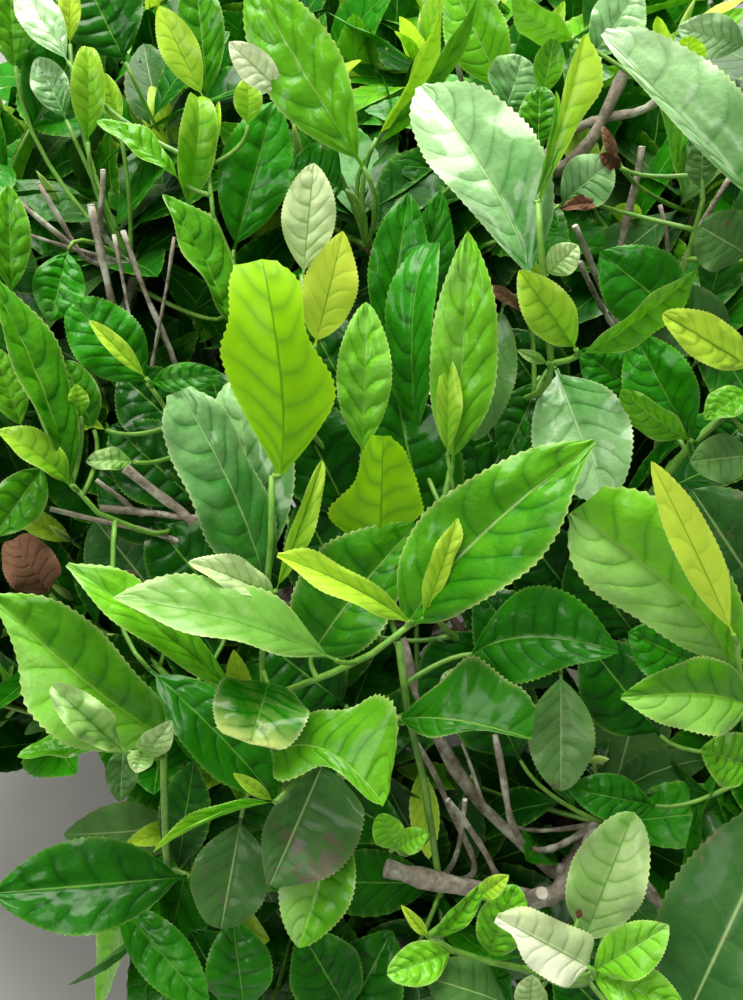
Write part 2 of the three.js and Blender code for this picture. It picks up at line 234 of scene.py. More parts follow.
def relief(piece, name, size, height):
    """Lifts and sinks the skin along its normals, unevenly as clouds are."""
    grain = bpy.data.textures.new(name, "CLOUDS")
    grain.noise_scale = size
    bpy.context.view_layer.objects.active = piece
    displace = piece.modifiers.new(name, "DISPLACE")
    displace.texture, displace.texture_coords = grain, "LOCAL"
    displace.strength, displace.mid_level = height, 0.5
    bpy.ops.object.modifier_apply(modifier=name)


wood_parts = [make_trunk()] + [make_limb(*limb) for limb in limbs]
bpy.ops.object.select_all(action="DESELECT")
for part in wood_parts:
    part.select_set(True)
bark = wood_parts[0]
bpy.context.view_layer.objects.active = bark
bpy.ops.object.join()
bark.name = bark.data.name = "bark"
skin = bark.modifiers.new("skin", "REMESH")
skin.mode, skin.voxel_size = "VOXEL", BARK_GRAIN
bpy.ops.object.modifier_apply(modifier="skin")
even = bark.modifiers.new("even", "SMOOTH")
even.factor, even.iterations = 0.5, 5
bpy.ops.object.modifier_apply(modifier="even")
relief(bark, "swellings", *SWELLINGS)
relief(bark, "cracks", *CRACKS)
for vertex in bark.data.vertices:
    vertex.co.z = max(vertex.co.z, 0)
bpy.ops.object.shade_smooth()


def new_material(name):
    material = bpy.data.materials.new(name)
    material.use_nodes = True
    return material, material.node_tree.nodes["Principled BSDF"]


def object_place(tree):
    return tree.nodes.new("ShaderNodeTexCoord").outputs["Object"]


def feed(tree, given, socket):
    """Gives a socket what another one carries, or a colour or a number."""
    if isinstance(given, bpy.types.NodeSocket):
        tree.links.new(given, socket)
    else:
        socket.default_value = (*given, 1) if isinstance(given, tuple) else given


def ramp(tree, value, stops):
    """A colour ramp over value, from two stops of place and colour."""
    node = tree.nodes.new("ShaderNodeValToRGB")
    for element, (place, colour) in zip(node.color_ramp.elements, stops):
        element.position, element.color = place, (*colour, 1)
    tree.links.new(value, node.inputs["Fac"])
    return node.outputs["Color"]


def noise(tree, coordinates, scale, detail, roughness):
    node = tree.nodes.new("ShaderNodeTexNoise")
    node.inputs["Scale"].default_value = scale
    node.inputs["Detail"].default_value = detail
    node.inputs["Roughness"].default_value = roughness
    tree.links.new(coordinates, node.inputs["Vector"])
    return node.outputs["Fac"]


MIX_SHARE, MIX_FIRST, MIX_SECOND, MIX_RESULT = 0, 6, 7, 2  # a Mix node's sockets for colours


def mix(tree, share, first, second, how="MIX"):
    node = tree.nodes.new("ShaderNodeMix")
    node.data_type, node.blend_type = "RGBA", how
    for socket, given in ((MIX_SHARE, share), (MIX_FIRST, first), (MIX_SECOND, second)):
        feed(tree, given, node.inputs[socket])
    return node.outputs[MIX_RESULT]


def bump(tree, height, distance, strength, into):
    node = tree.nodes.new("ShaderNodeBump")
    node.inputs["Distance"].default_value = distance
    node.inputs["Strength"].default_value = strength
    tree.links.new(height, node.inputs["Height"])
    tree.links.new(node.outputs["Normal"], into)


BLACK, WHITE = (0, 0, 0), (1, 1, 1)


def make_bark_material(name, dark, light, lichen):
    """Bark: streaks from dark to light, under patches of lichen."""
    material, shader = new_material(name)
    tree = material.node_tree
    place = object_place(tree)
    streaks = noise(tree, place, 160, 5, 0.7)
    wood = ramp(tree, streaks, ((0.32, dark), (0.68, light)))
    patches = ramp(tree, noise(tree, place, 55, 4, 0.6), ((0.5, BLACK), (0.6, WHITE)))
    tree.links.new(mix(tree, patches, wood, lichen), shader.inputs["Base Color"])
    shader.inputs["Roughness"].default_value = 0.85
    bump(tree, streaks, 0.002, 0.7, shader.inputs["Normal"])
    return material


BARK_DARK, BARK_LIGHT, LICHEN = (0.055, 0.038, 0.026), (0.25, 0.19, 0.14), (0.40, 0.40, 0.34)
bark.data.materials.clear()
bark.data.materials.append(make_bark_material("grey_bark", BARK_DARK, BARK_LIGHT, LICHEN))
for polygon in bark.data.polygons:
    polygon.material_index = 0
wood_nodes = ["trunk", "leader"]
wood_nodes += [f"bough_{k + 1}" for k in range(len(boughs))]
wood_nodes += [f"branch_{k + 1}" for k in range(len(branches))]
wood_nodes += [f"top_branch_{k + 1}" for k in range(len(top_branches))]
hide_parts(*wood_nodes)
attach(bark, "root")

# Twigs
# Each limb ends in a stem, which carries the twigs of one mass of foliage, and each twig carries
# side shoots. The stems and last year's twigs are of one brown wood, and the shoots of this year are
# green.
CROWN = {"half_width": 0.445, "half_depth": 0.425, "waist": 0.330, "rise": 0.362}
SQUARENESS = 2.3
SKIRT_HEIGHT = 0.225
BARE_PATCH = {"azimuth": 236, "half_angle": 13, "below": 0.350}
TWIG_COUNT, TOP_WEIGHT = 106, 1.2
GOLDEN_ANGLE = math.radians(137.5)
STEM = {"first_twig": 0.3, "last_twig": 0.99, "taper": 0.92, "straight": 0.040, "inside": 0.004}
TWIG = {"foot": 0.0030, "tip": 0.0018, "depth": 0.074, "scatter": 0.024}
GROWTH = {"rise": 0.6, "outward": 0.75, "bend": 0.45}
LEAD = {"first": 0.55, "rise": 0.0132}  # the shoot that carries a twig on past its tip
SHOOT = {
    "count": 4, "first": 0.42, "last": 0.86, "foot": 0.0017, "tip": 0.0010, "bend": 0.5, "upturn": 0.25,
    "reach": 0.060, "reach_scatter": 0.014, "rise": -0.008, "rise_scatter": 0.026,
    "tilt_scatter": 0.2, "turn_scatter": 0.35,
}
POINTS = {"stem": 12, "twig": 14, "lead": 10, "shoot": 12, "join": 8, "stick": 24}  # along each run
SEED = {"tips": 11, "shoots": 300, "leaves": 500}


def crown_share(point):
    across = math.hypot(point[0] / CROWN["half_width"], point[1] / CROWN["half_depth"])
    up = abs(point[2] - CROWN["waist"]) / CROWN["rise"]
    return (across**SQUARENESS + up**SQUARENESS) ** (1 / SQUARENESS)


def twig_tips():
    """The twigs' tips, even over the dome on a golden spiral, a little inside its outline."""
    chance = seeded(SEED["tips"])
    lowest = (SKIRT_HEIGHT - CROWN["waist"]) / CROWN["rise"]
    waist = np.array([0, 0, CROWN["waist"]])
    tips = []
    for k in range(TWIG_COUNT):
        level = 1 - (1 - lowest) * ((k + 0.5) / TWIG_COUNT) ** TOP_WEIGHT
        turn = k * GOLDEN_ANGLE
        depth = TWIG["depth"] + chance(TWIG["scatter"])
        across = math.sqrt(1 - level * level)
        tip = np.array([
            across * math.cos(turn) * CROWN["half_width"],
            across * math.sin(turn) * CROWN["half_depth"],
            level * CROWN["rise"],
        ])
        tip = waist + tip * (1 - depth / np.linalg.norm(tip)) / crown_share(tip + waist)
        bare = turn_between(math.degrees(turn) % 360, BARE_PATCH["azimuth"]) < BARE_PATCH["half_angle"]
        if not (bare and tip[2] < BARE_PATCH["below"]):
            tips.append(tip)
    return tips


def growth_at(point):
    """The way a shoot grows at the crown's surface: outward there, and always turned up."""
    outward = np.array([
        point[0] / CROWN["half_width"],
        point[1] / CROWN["half_depth"],
        GROWTH["rise"] * (point[2] - CROWN["waist"]) / CROWN["rise"],
    ])
    return unit(unit(outward) * GROWTH["outward"] + UP)


def new_piece(name, mesh):
    piece = bpy.data.objects.new(name, mesh)
    bpy.context.scene.collection.objects.link(piece)
    return piece


def tubes(name, runs, sides):
    """One mesh of closed tapered tubes, each along a run of points with a radius at each."""
    vertices, faces = [], []
    turns = (np.arange(sides) * 2 * math.pi / sides)[None, :, None]
    first = 0
    for points, radii in runs:
        heading = unit(np.gradient(points, axis=0))
        aside = np.eye(3)[np.argmin(np.abs(heading.mean(axis=0)))]
        across = unit(np.cross(heading, aside))
        over = np.cross(across, heading)
        circle = np.cos(turns) * across[:, None] + np.sin(turns) * over[:, None]
        vertices.append((points[:, None] + circle * np.asarray(radii)[:, None, None]).reshape(-1, 3))
        rings = first + np.arange(len(points))[:, None] * sides + np.arange(sides)
        for low, high in zip(rings, rings[1:]):
            faces += np.stack([high, np.roll(high, -1), np.roll(low, -1), low], axis=1).tolist()
        faces.append(rings[0].tolist())
        faces.append(rings[-1][::-1].tolist())
        first += rings.size
    mesh = bpy.data.meshes.new(name)
    mesh.from_pydata(np.concatenate(vertices), [], faces)
    mesh.polygons.foreach_set("use_smooth", [len(face) == 4 for face in faces])
    return new_piece(name, mesh)


def shares_up_to(kind, first=0):
    """Even shares of the length of a run of this kind, from the first on."""
    return np.linspace(first, 1, POINTS[kind])


def tapered(points, foot, tip):
    return points, np.linspace(foot, tip, len(points))


tips_of = [[] for mass in masses]
centres = np.array([mass["centre"] for mass in masses])
for tip in twig_tips():
    tips_of[int(np.argmin(np.linalg.norm(centres - tip, axis=1)))].append(tip)

stem_runs, twig_runs, shoots = [], [], []


def grow_shoots(foot, bend, tip, chance):
    """The shoot that leads a twig on, and the side shoots round the twig's outer half."""
    grown = growth_at(tip)
    lead = arch(foot, bend, tip + LEAD["rise"] * grown, shares_up_to("lead", LEAD["first"]))
    shoots.append((lead, True))
    sideways = unit(np.cross(grown, RIGHTWARD + chance(SHOOT["tilt_scatter"])))
    turn = chance(math.pi)
    for side in range(SHOOT["count"]):
        turn += 2 * math.pi / SHOOT["count"] + chance(SHOOT["turn_scatter"])
        place = SHOOT["first"] + (SHOOT["last"] - SHOOT["first"]) * side / (SHOOT["count"] - 1)
        root = arch(foot, bend, tip, place)[0]
        aside = turned(sideways, np.cross(grown, sideways), turn)
        end = tip + aside * (SHOOT["reach"] + chance(SHOOT["reach_scatter"]))
        end = end + grown * (SHOOT["rise"] + chance(SHOOT["rise_scatter"]))
        rise = unit(growth_at(end) + SHOOT["upturn"] * UP)
        shoot_bend = end - SHOOT["bend"] * np.linalg.norm(end - root) * rise
        shoots.append((arch(root, shoot_bend, end, shares_up_to("shoot")), False))


for order, (mass, carrier, tips) in enumerate(zip(masses, carriers, tips_of)):
    chance = seeded(SEED["shoots"] + order)
    heading = unit(carrier.tip - carrier.bend)
    start = mass["foot"] - STEM["inside"] * heading
    bend = mass["foot"] + STEM["straight"] * heading
    stem = arch(start, bend, mass["centre"], shares_up_to("stem"))
    stem_runs.append(tapered(stem, carrier.tip_radius * STEM["taper"], TWIG["foot"]))
    ahead = unit(mass["centre"] - bend)
    tips = sorted(tips, key=lambda tip: unit(tip - mass["foot"]) @ ahead)
    for k, tip in enumerate(tips):
        share = STEM["first_twig"] + (STEM["last_twig"] - STEM["first_twig"]) * (k + 1) / len(tips)
        foot = arch(start, bend, mass["centre"], share)[0]
        twig_bend = tip - GROWTH["bend"] * np.linalg.norm(tip - foot) * growth_at(tip)
        twig_points = arch(foot, twig_bend, tip, shares_up_to("twig"))
        twig_runs.append(tapered(twig_points, TWIG["foot"], TWIG["tip"]))
        grow_shoots(foot, twig_bend, tip, chance)

# Leaf blades
# A leaf is a leathery oval blade on a short stalk, with teeth along its margin, a sunken midrib and
# blisters between the side veins. Each mesh of leaves is shaped from one flat sheet of faces.
PETIOLE_SHARE = 0.05
TEETH_REACH = 0.042  # how far a tooth stands out, as a share of half the leaf's width
TOOTH_LEAN = 0.005  # how far forward it leans, as a share of the leaf's length
TEETH_FROM, TEETH_TO = 0.16, 0.98  # the stretch of the margin that has them
VEINS, VEINS_MORE = 5.6, 2.2  # the fewest side veins along each half, and how many more some have
VEIN_SLANT = 0.17  # how far forward a side vein ends, as a share of the leaf's length
VEIN_ARCH = 1.15
VEIN_OFFSET = 0.35  # how far the right half's veins lie before the left half's
WOBBLE = {"reach": 0.2, "seed": 60, "spread": 4.5, "right": 2}  # how the side veins waver
COUNT_SEED = 7
NARROW = 0.006  # a blade narrower than this to one side, in metres, has lower blisters
# Where nothing else is said: the widest place, the blunt tip, the outline, the bow to the right, the
# fold along the midrib, the bend, the curl of the tip and the twist, the height of blisters and of
# waves, the tone, how much lighter the tip is, partly its own tint and partly painted light, how much
# lighter the left half is as a painted sheen, and how much of the tip is withered
PLAIN_LEAF = {
    "widest": 0.5, "blunt": 0.1, "margins": None, "sway": 0.0, "fold": 0.3, "bend": 0.3, "curl": 0.0,
    "twist": 0.0, "quilt": 0.0008, "wave": 0.12, "tone": 0.5, "tip_tint_and_light": 0.0, "painted_half_sheen": 0.0, "wither": 0.0,
}
LEAF_FIELDS = ["length", "width", "seed", *(field for field in PLAIN_LEAF if field != "margins")]


def leaf(root, heading, face, length, width, **form):
    """A leaf set at its root, with the way it is headed and the way that its upper side faces."""
    place = {"root": root, "heading": unit(heading), "face": unit(face)}
    seed = abs(root[0] * 97) % 1
    return {**PLAIN_LEAF, **place, "length": length, "width": width, "seed": seed, **form}


def flat_leaf(columns, rows):
    """A sheet of faces, with each point's place across (-1 to 1) and along (0 to 1)."""
    bpy.ops.object.select_all(action="DESELECT")
    bpy.ops.mesh.primitive_grid_add(x_subdivisions=columns, y_subdivisions=rows, size=2)
    sheet = bpy.context.object
    place = np.empty(len(sheet.data.vertices) * 3)
    sheet.data.vertices.foreach_get("co", place)
    faces = np.array([face.vertices for face in sheet.data.polygons])
    bpy.data.objects.remove(sheet)
    across, along = place[0::3], (place[1::3] + 1) / 2
    row = np.rint(along * rows).astype(int)
    margin = (np.abs(across) > 0.99) & (along > TEETH_FROM) & (along < TEETH_TO)
    tooth = margin & (row % 2 == 1)
    return {"across": across, "along": along, "row": row, "rows": rows, "faces": faces, "tooth": tooth}


def half_width(across, along, widest, blunt, margins):
    """A leaf's outline: half its width as a share of the widest, at places along it. Where margins
    are given, they are that share in percent for each side at even steps from stalk to tip."""
    blade = np.clip((along - PETIOLE_SHARE) / (1 - PETIOLE_SHARE), 0, 1)
    swell = np.clip(np.sin(math.pi * blade ** (math.log(0.5) / np.log(widest))), 0, 1)
    outline = swell ** (0.8 + (0.02 - 0.45 * blunt) * blade)
    for k, sides in enumerate(margins):
        if sides:
            places = np.linspace(0, 1, len(sides[0]))
            left, right = (
                (np.interp(along - 0.03, places, side) + np.interp(along + 0.03, places, side)) / 2
                for side in np.array(sides) / 100
            )
            outline[k] = np.where(across < 0, left, right)
    return np.maximum(outline, 0.05 * (1 - along))


def vein_course(of, across, along):
    """Each point's place among the side veins, a whole number on each of them."""
    spread, right = np.abs(across), across > 0
    wobble = np.sin(of["seed"] * WOBBLE["seed"] + spread * WOBBLE["spread"] + right * WOBBLE["right"])
    wobble = WOBBLE["reach"] * wobble + right * VEIN_OFFSET
    count = VEINS + VEINS_MORE * (of["seed"] * COUNT_SEED % 1)
    return (along - spread**VEIN_ARCH * VEIN_SLANT) * count + wobble


def blisters(of, across, along):
    """The bulge of the blade between its side veins, as a share of its quilt, and never even."""
    spread, veins = np.abs(across), vein_course(of, across, along)
    puffs = spread * 1.6 + of["seed"] * 7 + np.floor(veins) * 0.37
    puffs = 0.7 + 0.3 * np.cos(2 * math.pi * puffs)
    bulge = (1 - np.abs(2 * (veins % 1) - 1) ** 4) * np.sin(math.pi * spread**0.8) ** 0.6 * puffs
    uneven = np.sin(along * 23 + across * 6 + of["seed"] * 90)
    uneven = uneven * np.sin(across * 7 - along * 11 + of["seed"] * 40)
    return bulge * 0.8 + uneven * 0.35 * (1 - spread**4)


def run_and_drop(of, flat):
    """How far each row of points comes forward and drops, as the blade bends and its tip curls."""
    middle = (np.arange(flat["rows"]) + 0.5) / flat["rows"]
    slope = of["bend"] * middle + of["curl"] * middle**4
    step = of["length"] / flat["rows"]
    start = np.zeros((len(slope), 1))
    return [
        np.hstack([start, np.cumsum(step * part(slope), axis=1)])[:, flat["row"]]
        for part in (np.cos, np.sin)
    ]


def leaf_points(of, flat, leaves, teeth):
    """The points of each leaf, shaped from the flat sheet and set at its root."""
    directions = ("root", "heading", "face")
    root, heading, face = (np.array([blade[key] for blade in leaves]) for key in directions)
    face = unit(face - heading * np.sum(face * heading, axis=1, keepdims=True))
    side = np.cross(heading, face)
    across, along = flat["across"], flat["along"]
    half = half_width(across, along, of["widest"], of["blunt"], [blade["margins"] for blade in leaves])
    half = of["width"] / 2 * half * (1 + flat["tooth"] * teeth)
    spread, right = np.abs(across), across > 0
    waving = np.sin(along * 13 + of["seed"] * 50 + right * 2) * spread**3
    lift = half * spread * (1.3 - 0.6 * spread) * np.sin(of["fold"])
    lift = lift + of["quilt"] * blisters(of, across, along) * np.minimum(1, half / NARROW)
    lift = lift + of["wave"] * waving * half
    reach = across * half * np.cos(of["fold"])
    reach = reach + of["sway"] * of["length"] * np.sin(math.pi * along**0.8)
    angle = of["twist"] * (along - 0.3)
    cosine, sine = np.cos(angle), np.sin(angle)
    reach, lift = reach * cosine - lift * sine, reach * sine + lift * cosine
    run, drop = run_and_drop(of, flat)
    slope = of["bend"] * along + of["curl"] * along**4
    forward = run + lift * np.sin(slope) + flat["tooth"] * TOOTH_LEAN * of["length"]
    outward = lift * np.cos(slope) - drop
    return (
        root[:, None] + reach[..., None] * side[:, None]
        + forward[..., None] * heading[:, None] + outward[..., None] * face[:, None]
    )


def joined_leaves(name, flat, leaves, teeth):
    """One mesh of many leaves, with a UV map laid over each and the values that its colours need."""
    of = {field: np.array([blade[field] for blade in leaves])[:, None] for field in LEAF_FIELDS}
    across, along = flat["across"], flat["along"]
    starts = np.arange(len(leaves))[:, None, None] * len(across)
    faces = (flat["faces"][None] + starts).reshape(-1, 4)
    mesh = bpy.data.meshes.new(name)
    mesh.from_pydata(leaf_points(of, flat, leaves, teeth).reshape(-1, 3), [], faces.tolist())
    layout = np.stack([(across + 1) / 2, along], axis=1)
    uv = mesh.uv_layers.new(name="leaf")
    uv.data.foreach_set("uv", np.tile(layout[flat["faces"].ravel()], (len(leaves), 1)).ravel())
    # Painted sheen: one half of a leaf is made lighter in tone, as a reflection of the sky would light it
    half_sheen = of["painted_half_sheen"] * np.sign(across) * np.minimum(1, np.abs(across) * 8)
    values_of = {
        # The tip is lighter in tone: partly its own tint, partly painted light
        "tone": of["tone"] + of["tip_tint_and_light"] * along**8 - half_sheen,
        "seed": of["seed"] + 0 * along,
        "tooth": flat["tooth"] + 0 * of["seed"],
        "wither": of["wither"] * along**2,
    }
    for field, values in values_of.items():
        attribute = mesh.attributes.new(field, "FLOAT", "POINT")
        attribute.data.foreach_set("value", values.ravel())
    mesh.polygons.foreach_set("use_smooth", np.ones(len(faces), bool))
    return new_piece(name, mesh)


def number(tree, operation, *inputs):
    """A Math node. Each input is a socket or a number."""
    node = tree.nodes.new("ShaderNodeMath")
    node.operation = operation
    for socket, given in zip(node.inputs, inputs):
        feed(tree, given, socket)
    return node.outputs[0]


def leaf_value(tree, field):
    node = tree.nodes.new("ShaderNodeAttribute")
    node.attribute_name = field
    return node.outputs["Fac"]


def finest_veins(tree, uv):
    """The net of cells between the finest veins, as the distance from their edges."""
    stretch = tree.nodes.new("ShaderNodeMapping")
    stretch.inputs["Scale"].default_value = (9, 24, 1)
    tree.links.new(uv, stretch.inputs["Vector"])
    net = tree.nodes.new("ShaderNodeTexVoronoi")
    net.voronoi_dimensions, net.feature = "2D", "DISTANCE_TO_EDGE"
    net.inputs["Scale"].default_value = 1
    tree.links.new(stretch.outputs["Vector"], net.inputs["Vector"])
    return net.outputs["Distance"]


def leaf_pattern(tree):
    """A leaf's pattern from its own UV map: places across and along it, the bulge between its side
    veins, which run as vein_course has them, the midrib, and the net of the finest veins."""
    value = partial(number, tree)
    uv = tree.nodes.new("ShaderNodeUVMap")
    uv.uv_map = "leaf"
    parts = tree.nodes.new("ShaderNodeSeparateXYZ")
    tree.links.new(uv.outputs["UV"], parts.inputs["Vector"])
    u, v, seed = parts.outputs["X"], parts.outputs["Y"], leaf_value(tree, "seed")
    spread = value("ABSOLUTE", value("MULTIPLY_ADD", u, 2, -1))
    right = value("GREATER_THAN", u, 0.5)
    wobble = value("MULTIPLY_ADD", spread, WOBBLE["spread"], value("MULTIPLY", right, WOBBLE["right"]))
    wobble = value("SINE", value("MULTIPLY_ADD", seed, WOBBLE["seed"], wobble))
    wobble = value("MULTIPLY_ADD", right, VEIN_OFFSET, value("MULTIPLY", wobble, WOBBLE["reach"]))
    slanted = value("MULTIPLY_ADD", value("POWER", spread, VEIN_ARCH), -VEIN_SLANT, v)
    count = value("FRACT", value("MULTIPLY", seed, COUNT_SEED))
    count = value("MULTIPLY_ADD", count, VEINS_MORE, VEINS)
    veins = value("FRACT", value("MULTIPLY_ADD", slanted, count, wobble))
    veins = value("POWER", value("ABSOLUTE", value("MULTIPLY_ADD", veins, 2, -1)), 4)
    short_of_margin = value("SUBTRACT", 1, value("POWER", spread, 3))
    hump = value("SUBTRACT", 1, value("MULTIPLY", veins, short_of_margin))
    midrib = value("MAXIMUM", value("MULTIPLY_ADD", spread, -26, 1), 0)
    return spread, v, hump, midrib, finest_veins(tree, uv.outputs["UV"])


def make_leaf_material(
    name, shade, light, rib, vein, teeth, gloss, through,
    furrow_shade=0.3, bands=12, relief=0.5, brighter_tip=0.2, coat=0.4, net=0.2, spots=None,
    painted_sheen=(0.46, 0.76, 0.26),
):
    """A leaf between two tones, with its midrib, side veins, and pale margin and teeth, with painted
    light on its blisters and painted shade in the furrows along its side veins. Through is the share of
    light that comes from behind it, bands how narrow the veins look, spots the colour of withered
    blotches, and the sheen colour the whitish painted sheen of the lightest leaves."""
    material, shader = new_material(name)
    tree = material.node_tree
    value = partial(number, tree)
    spread, along, hump, midrib, cells = leaf_pattern(tree)
    place = object_place(tree)
    share = value("MULTIPLY_ADD", noise(tree, place, 90, 3, 0.6), 0.8, leaf_value(tree, "tone"))
    # Painted light: the blisters between the side veins are coloured lighter
    share = value("MULTIPLY_ADD", hump, 0.25, share)
    share = value("MULTIPLY_ADD", along, brighter_tip, share)
    colour = mix(tree, value("SUBTRACT", share, 0.7), shade, light)
    # Where the share runs highest, the colour turns to a whitish painted sheen
    colour = mix(tree, value("MULTIPLY_ADD", share, 0.9, -1.5), colour, painted_sheen)
    # The furrows along the side veins are darkened toward the vein colour: partly the veins' own colour,
    # partly painted shade
    furrow_shade_mask = value("POWER", value("SUBTRACT", 1, hump), bands / 4)
    colour = mix(tree, value("MULTIPLY", furrow_shade_mask, furrow_shade), colour, vein)
    if spots:
        blotches = value("ADD", leaf_value(tree, "wither"), noise(tree, place, 60, 4, 0.7))
        colour = mix(tree, ramp(tree, blotches, ((0.60, BLACK), (0.68, WHITE))), colour, spots)
    colour = mix(tree, midrib, colour, rib)
    margin = value("MULTIPLY", value("POWER", spread, 30), 0.6)
    dots = value("POWER", leaf_value(tree, "tooth"), 4)
    colour = mix(tree, value("MAXIMUM", margin, dots), colour, teeth)
    tree.links.new(colour, shader.inputs["Base Color"])
    shader.inputs["Roughness"].default_value = gloss
    shader.inputs["Coat Weight"].default_value = coat
    shader.inputs["Coat Roughness"].default_value = 0.15
    shader.inputs["Specular IOR Level"].default_value = 0.12
    height = value("MULTIPLY_ADD", value("MINIMUM", cells, 0.3), net, hump)
    height = value("MULTIPLY_ADD", midrib, -0.8, height)
    height = value("MULTIPLY_ADD", noise(tree, place, 330, 2, 0.5), 0.9, height)
    bump(tree, height, 0.0011, relief, shader.inputs["Normal"])
    back = tree.nodes.new("ShaderNodeBsdfTranslucent")
    tree.links.new(mix(tree, 0.6, colour, (0.9, 1.0, 0.25), "MULTIPLY"), back.inputs["Color"])
    both = tree.nodes.new("ShaderNodeMixShader")
    both.inputs["Fac"].default_value = through
    tree.links.new(shader.outputs[0], both.inputs[1])
    tree.links.new(back.outputs[0], both.inputs[2])
    tree.links.new(both.outputs[0], tree.nodes["Material Output"].inputs["Surface"])
    return material


# Each kind's colours of shade, light, midrib, side veins and teeth, then its gloss, the share of light
# that comes through, and what else differs. The side veins' colour also serves as the painted shade in
# the furrows along them.
LEAF_LOOKS = {
    "mature": (
        (0.004, 0.074, 0.001), (0.026, 0.27, 0.003), (0.18, 0.46, 0.06),
        (0.002, 0.045, 0.001), (0.20, 0.44, 0.06), 0.40, 0.08, {"coat": 0.3},
    ),
    "grown": (
        (0.028, 0.23, 0.003), (0.20, 0.62, 0.018), (0.40, 0.72, 0.14),
        (0.015, 0.16, 0.003), (0.72, 0.86, 0.30), 0.36, 0.22, {},
    ),
    "young": (
        (0.11, 0.45, 0.010), (0.64, 0.95, 0.07), (0.15, 0.42, 0.010),
        (0.12, 0.40, 0.006), (0.85, 0.92, 0.30), 0.38, 0.36,
        {"furrow_shade": 0.2, "relief": 0.25, "brighter_tip": 0.6, "painted_sheen": (0.82, 1.0, 0.10)},
    ),
    "old": (
        (0.022, 0.11, 0.018), (0.10, 0.25, 0.055), (0.34, 0.50, 0.18),
        (0.09, 0.20, 0.05), (0.20, 0.28, 0.08), 0.42, 0.04,
        {"furrow_shade": 0.5, "relief": 0.25, "coat": 0.18, "net": 0.8, "spots": (0.13, 0.12, 0.075),
         "painted_sheen": (0.26, 0.42, 0.20)},
    ),
    "lit": (
        (0.15, 0.43, 0.020), (0.42, 0.88, 0.006), (0.11, 0.38, 0.006),
        (0.11, 0.37, 0.030), (0.66, 0.90, 0.05), 0.5, 0.45,
        {"furrow_shade": 0.45, "bands": 2, "relief": 0.06, "brighter_tip": 0.65, "coat": 0.1, "net": 0.0,
         "painted_sheen": (0.60, 0.93, 0.05)},
    ),
    "pale": (
        (0.21, 0.50, 0.08), (0.80, 0.93, 0.52), (0.16, 0.42, 0.05),
        (0.16, 0.42, 0.05), (0.80, 0.90, 0.40), 0.3, 0.25,
        {"relief": 0.35, "brighter_tip": 0.4, "painted_sheen": (0.92, 0.97, 0.78)},
    ),
    # Leaves with a painted reflection of the sky: their lighter tone is a whitish sheen, strongest toward
    # the tip
    "painted_reflection": (
        (0.045, 0.25, 0.025), (0.40, 0.69, 0.31), (0.42, 0.68, 0.26),
        (0.05, 0.22, 0.03), (0.70, 0.86, 0.42), 0.30, 0.08,
        {"relief": 0.45, "brighter_tip": 1.0, "coat": 0.8, "painted_sheen": (0.78, 0.92, 0.72)},
    ),
    # A leaf painted pale toward its tip, a painted light where the tip is lit from behind
    "painted_lit_tip": (
        (0.018, 0.25, 0.002), (0.72, 0.88, 0.26), (0.20, 0.55, 0.04),
        (0.015, 0.18, 0.002), (0.85, 0.92, 0.50), 0.32, 0.25, {"brighter_tip": 0.0, "coat": 0.6},
    ),
    "dry": (
        (0.06, 0.025, 0.015), (0.24, 0.12, 0.07), (0.30, 0.15, 0.08),
        (0.10, 0.04, 0.02), (0.40, 0.22, 0.12), 0.7, 0.1,
        {"coat": 0.0, "net": 0.6, "painted_sheen": (0.45, 0.28, 0.18)},
    ),
}
leaf_materials = {
    kind: make_leaf_material(f"{kind}_leaf", *look, **more) for kind, (*look, more) in LEAF_LOOKS.items()
}
foliage_nodes = [mass["name"] for mass in masses]


def finish_foliage(piece, material):
    piece.data.materials.append(material)
    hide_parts(*foliage_nodes)
    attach(piece, "root")


# Front shoots
# The shoots that the photograph shows near by, each leaf at its place there, with its upper side or
# its underside to the camera. They sit on green stems of this year's growth, which join the twigs
# behind, and between them stand bare sticks that were pruned and have turned grey.
FORMS = {  # how each kind differs from a plain leaf, with the height of its blisters in mm
    "mature": {"fold": 0.30, "bend": 0.45, "quilt": 1.4, "blunt": 0.1},
    "grown": {"fold": 0.42, "bend": 0.40, "quilt": 1.5, "blunt": 0.1},
    "young": {"fold": 0.60, "bend": 0.20, "quilt": 0.5},
    "old": {"fold": 0.15, "bend": 0.45, "quilt": 0.6, "blunt": 0.4},
    "lit": {"fold": 0.25, "bend": -0.15, "quilt": 0.3, "blunt": 0.5},
    "pale": {"fold": 0.35, "bend": 0.35, "quilt": 0.9},
    "painted_reflection": {"fold": 0.20, "bend": 0.50, "quilt": 1.2, "blunt": 0.2},
    "painted_lit_tip": {"fold": 0.25, "bend": 1.5, "quilt": 0.5, "blunt": 1.4, "widest": 0.62},
    "dry": {"fold": 0.50, "bend": 0.90, "curl": 1.0, "quilt": 0.6, "wave": 0.3},
}
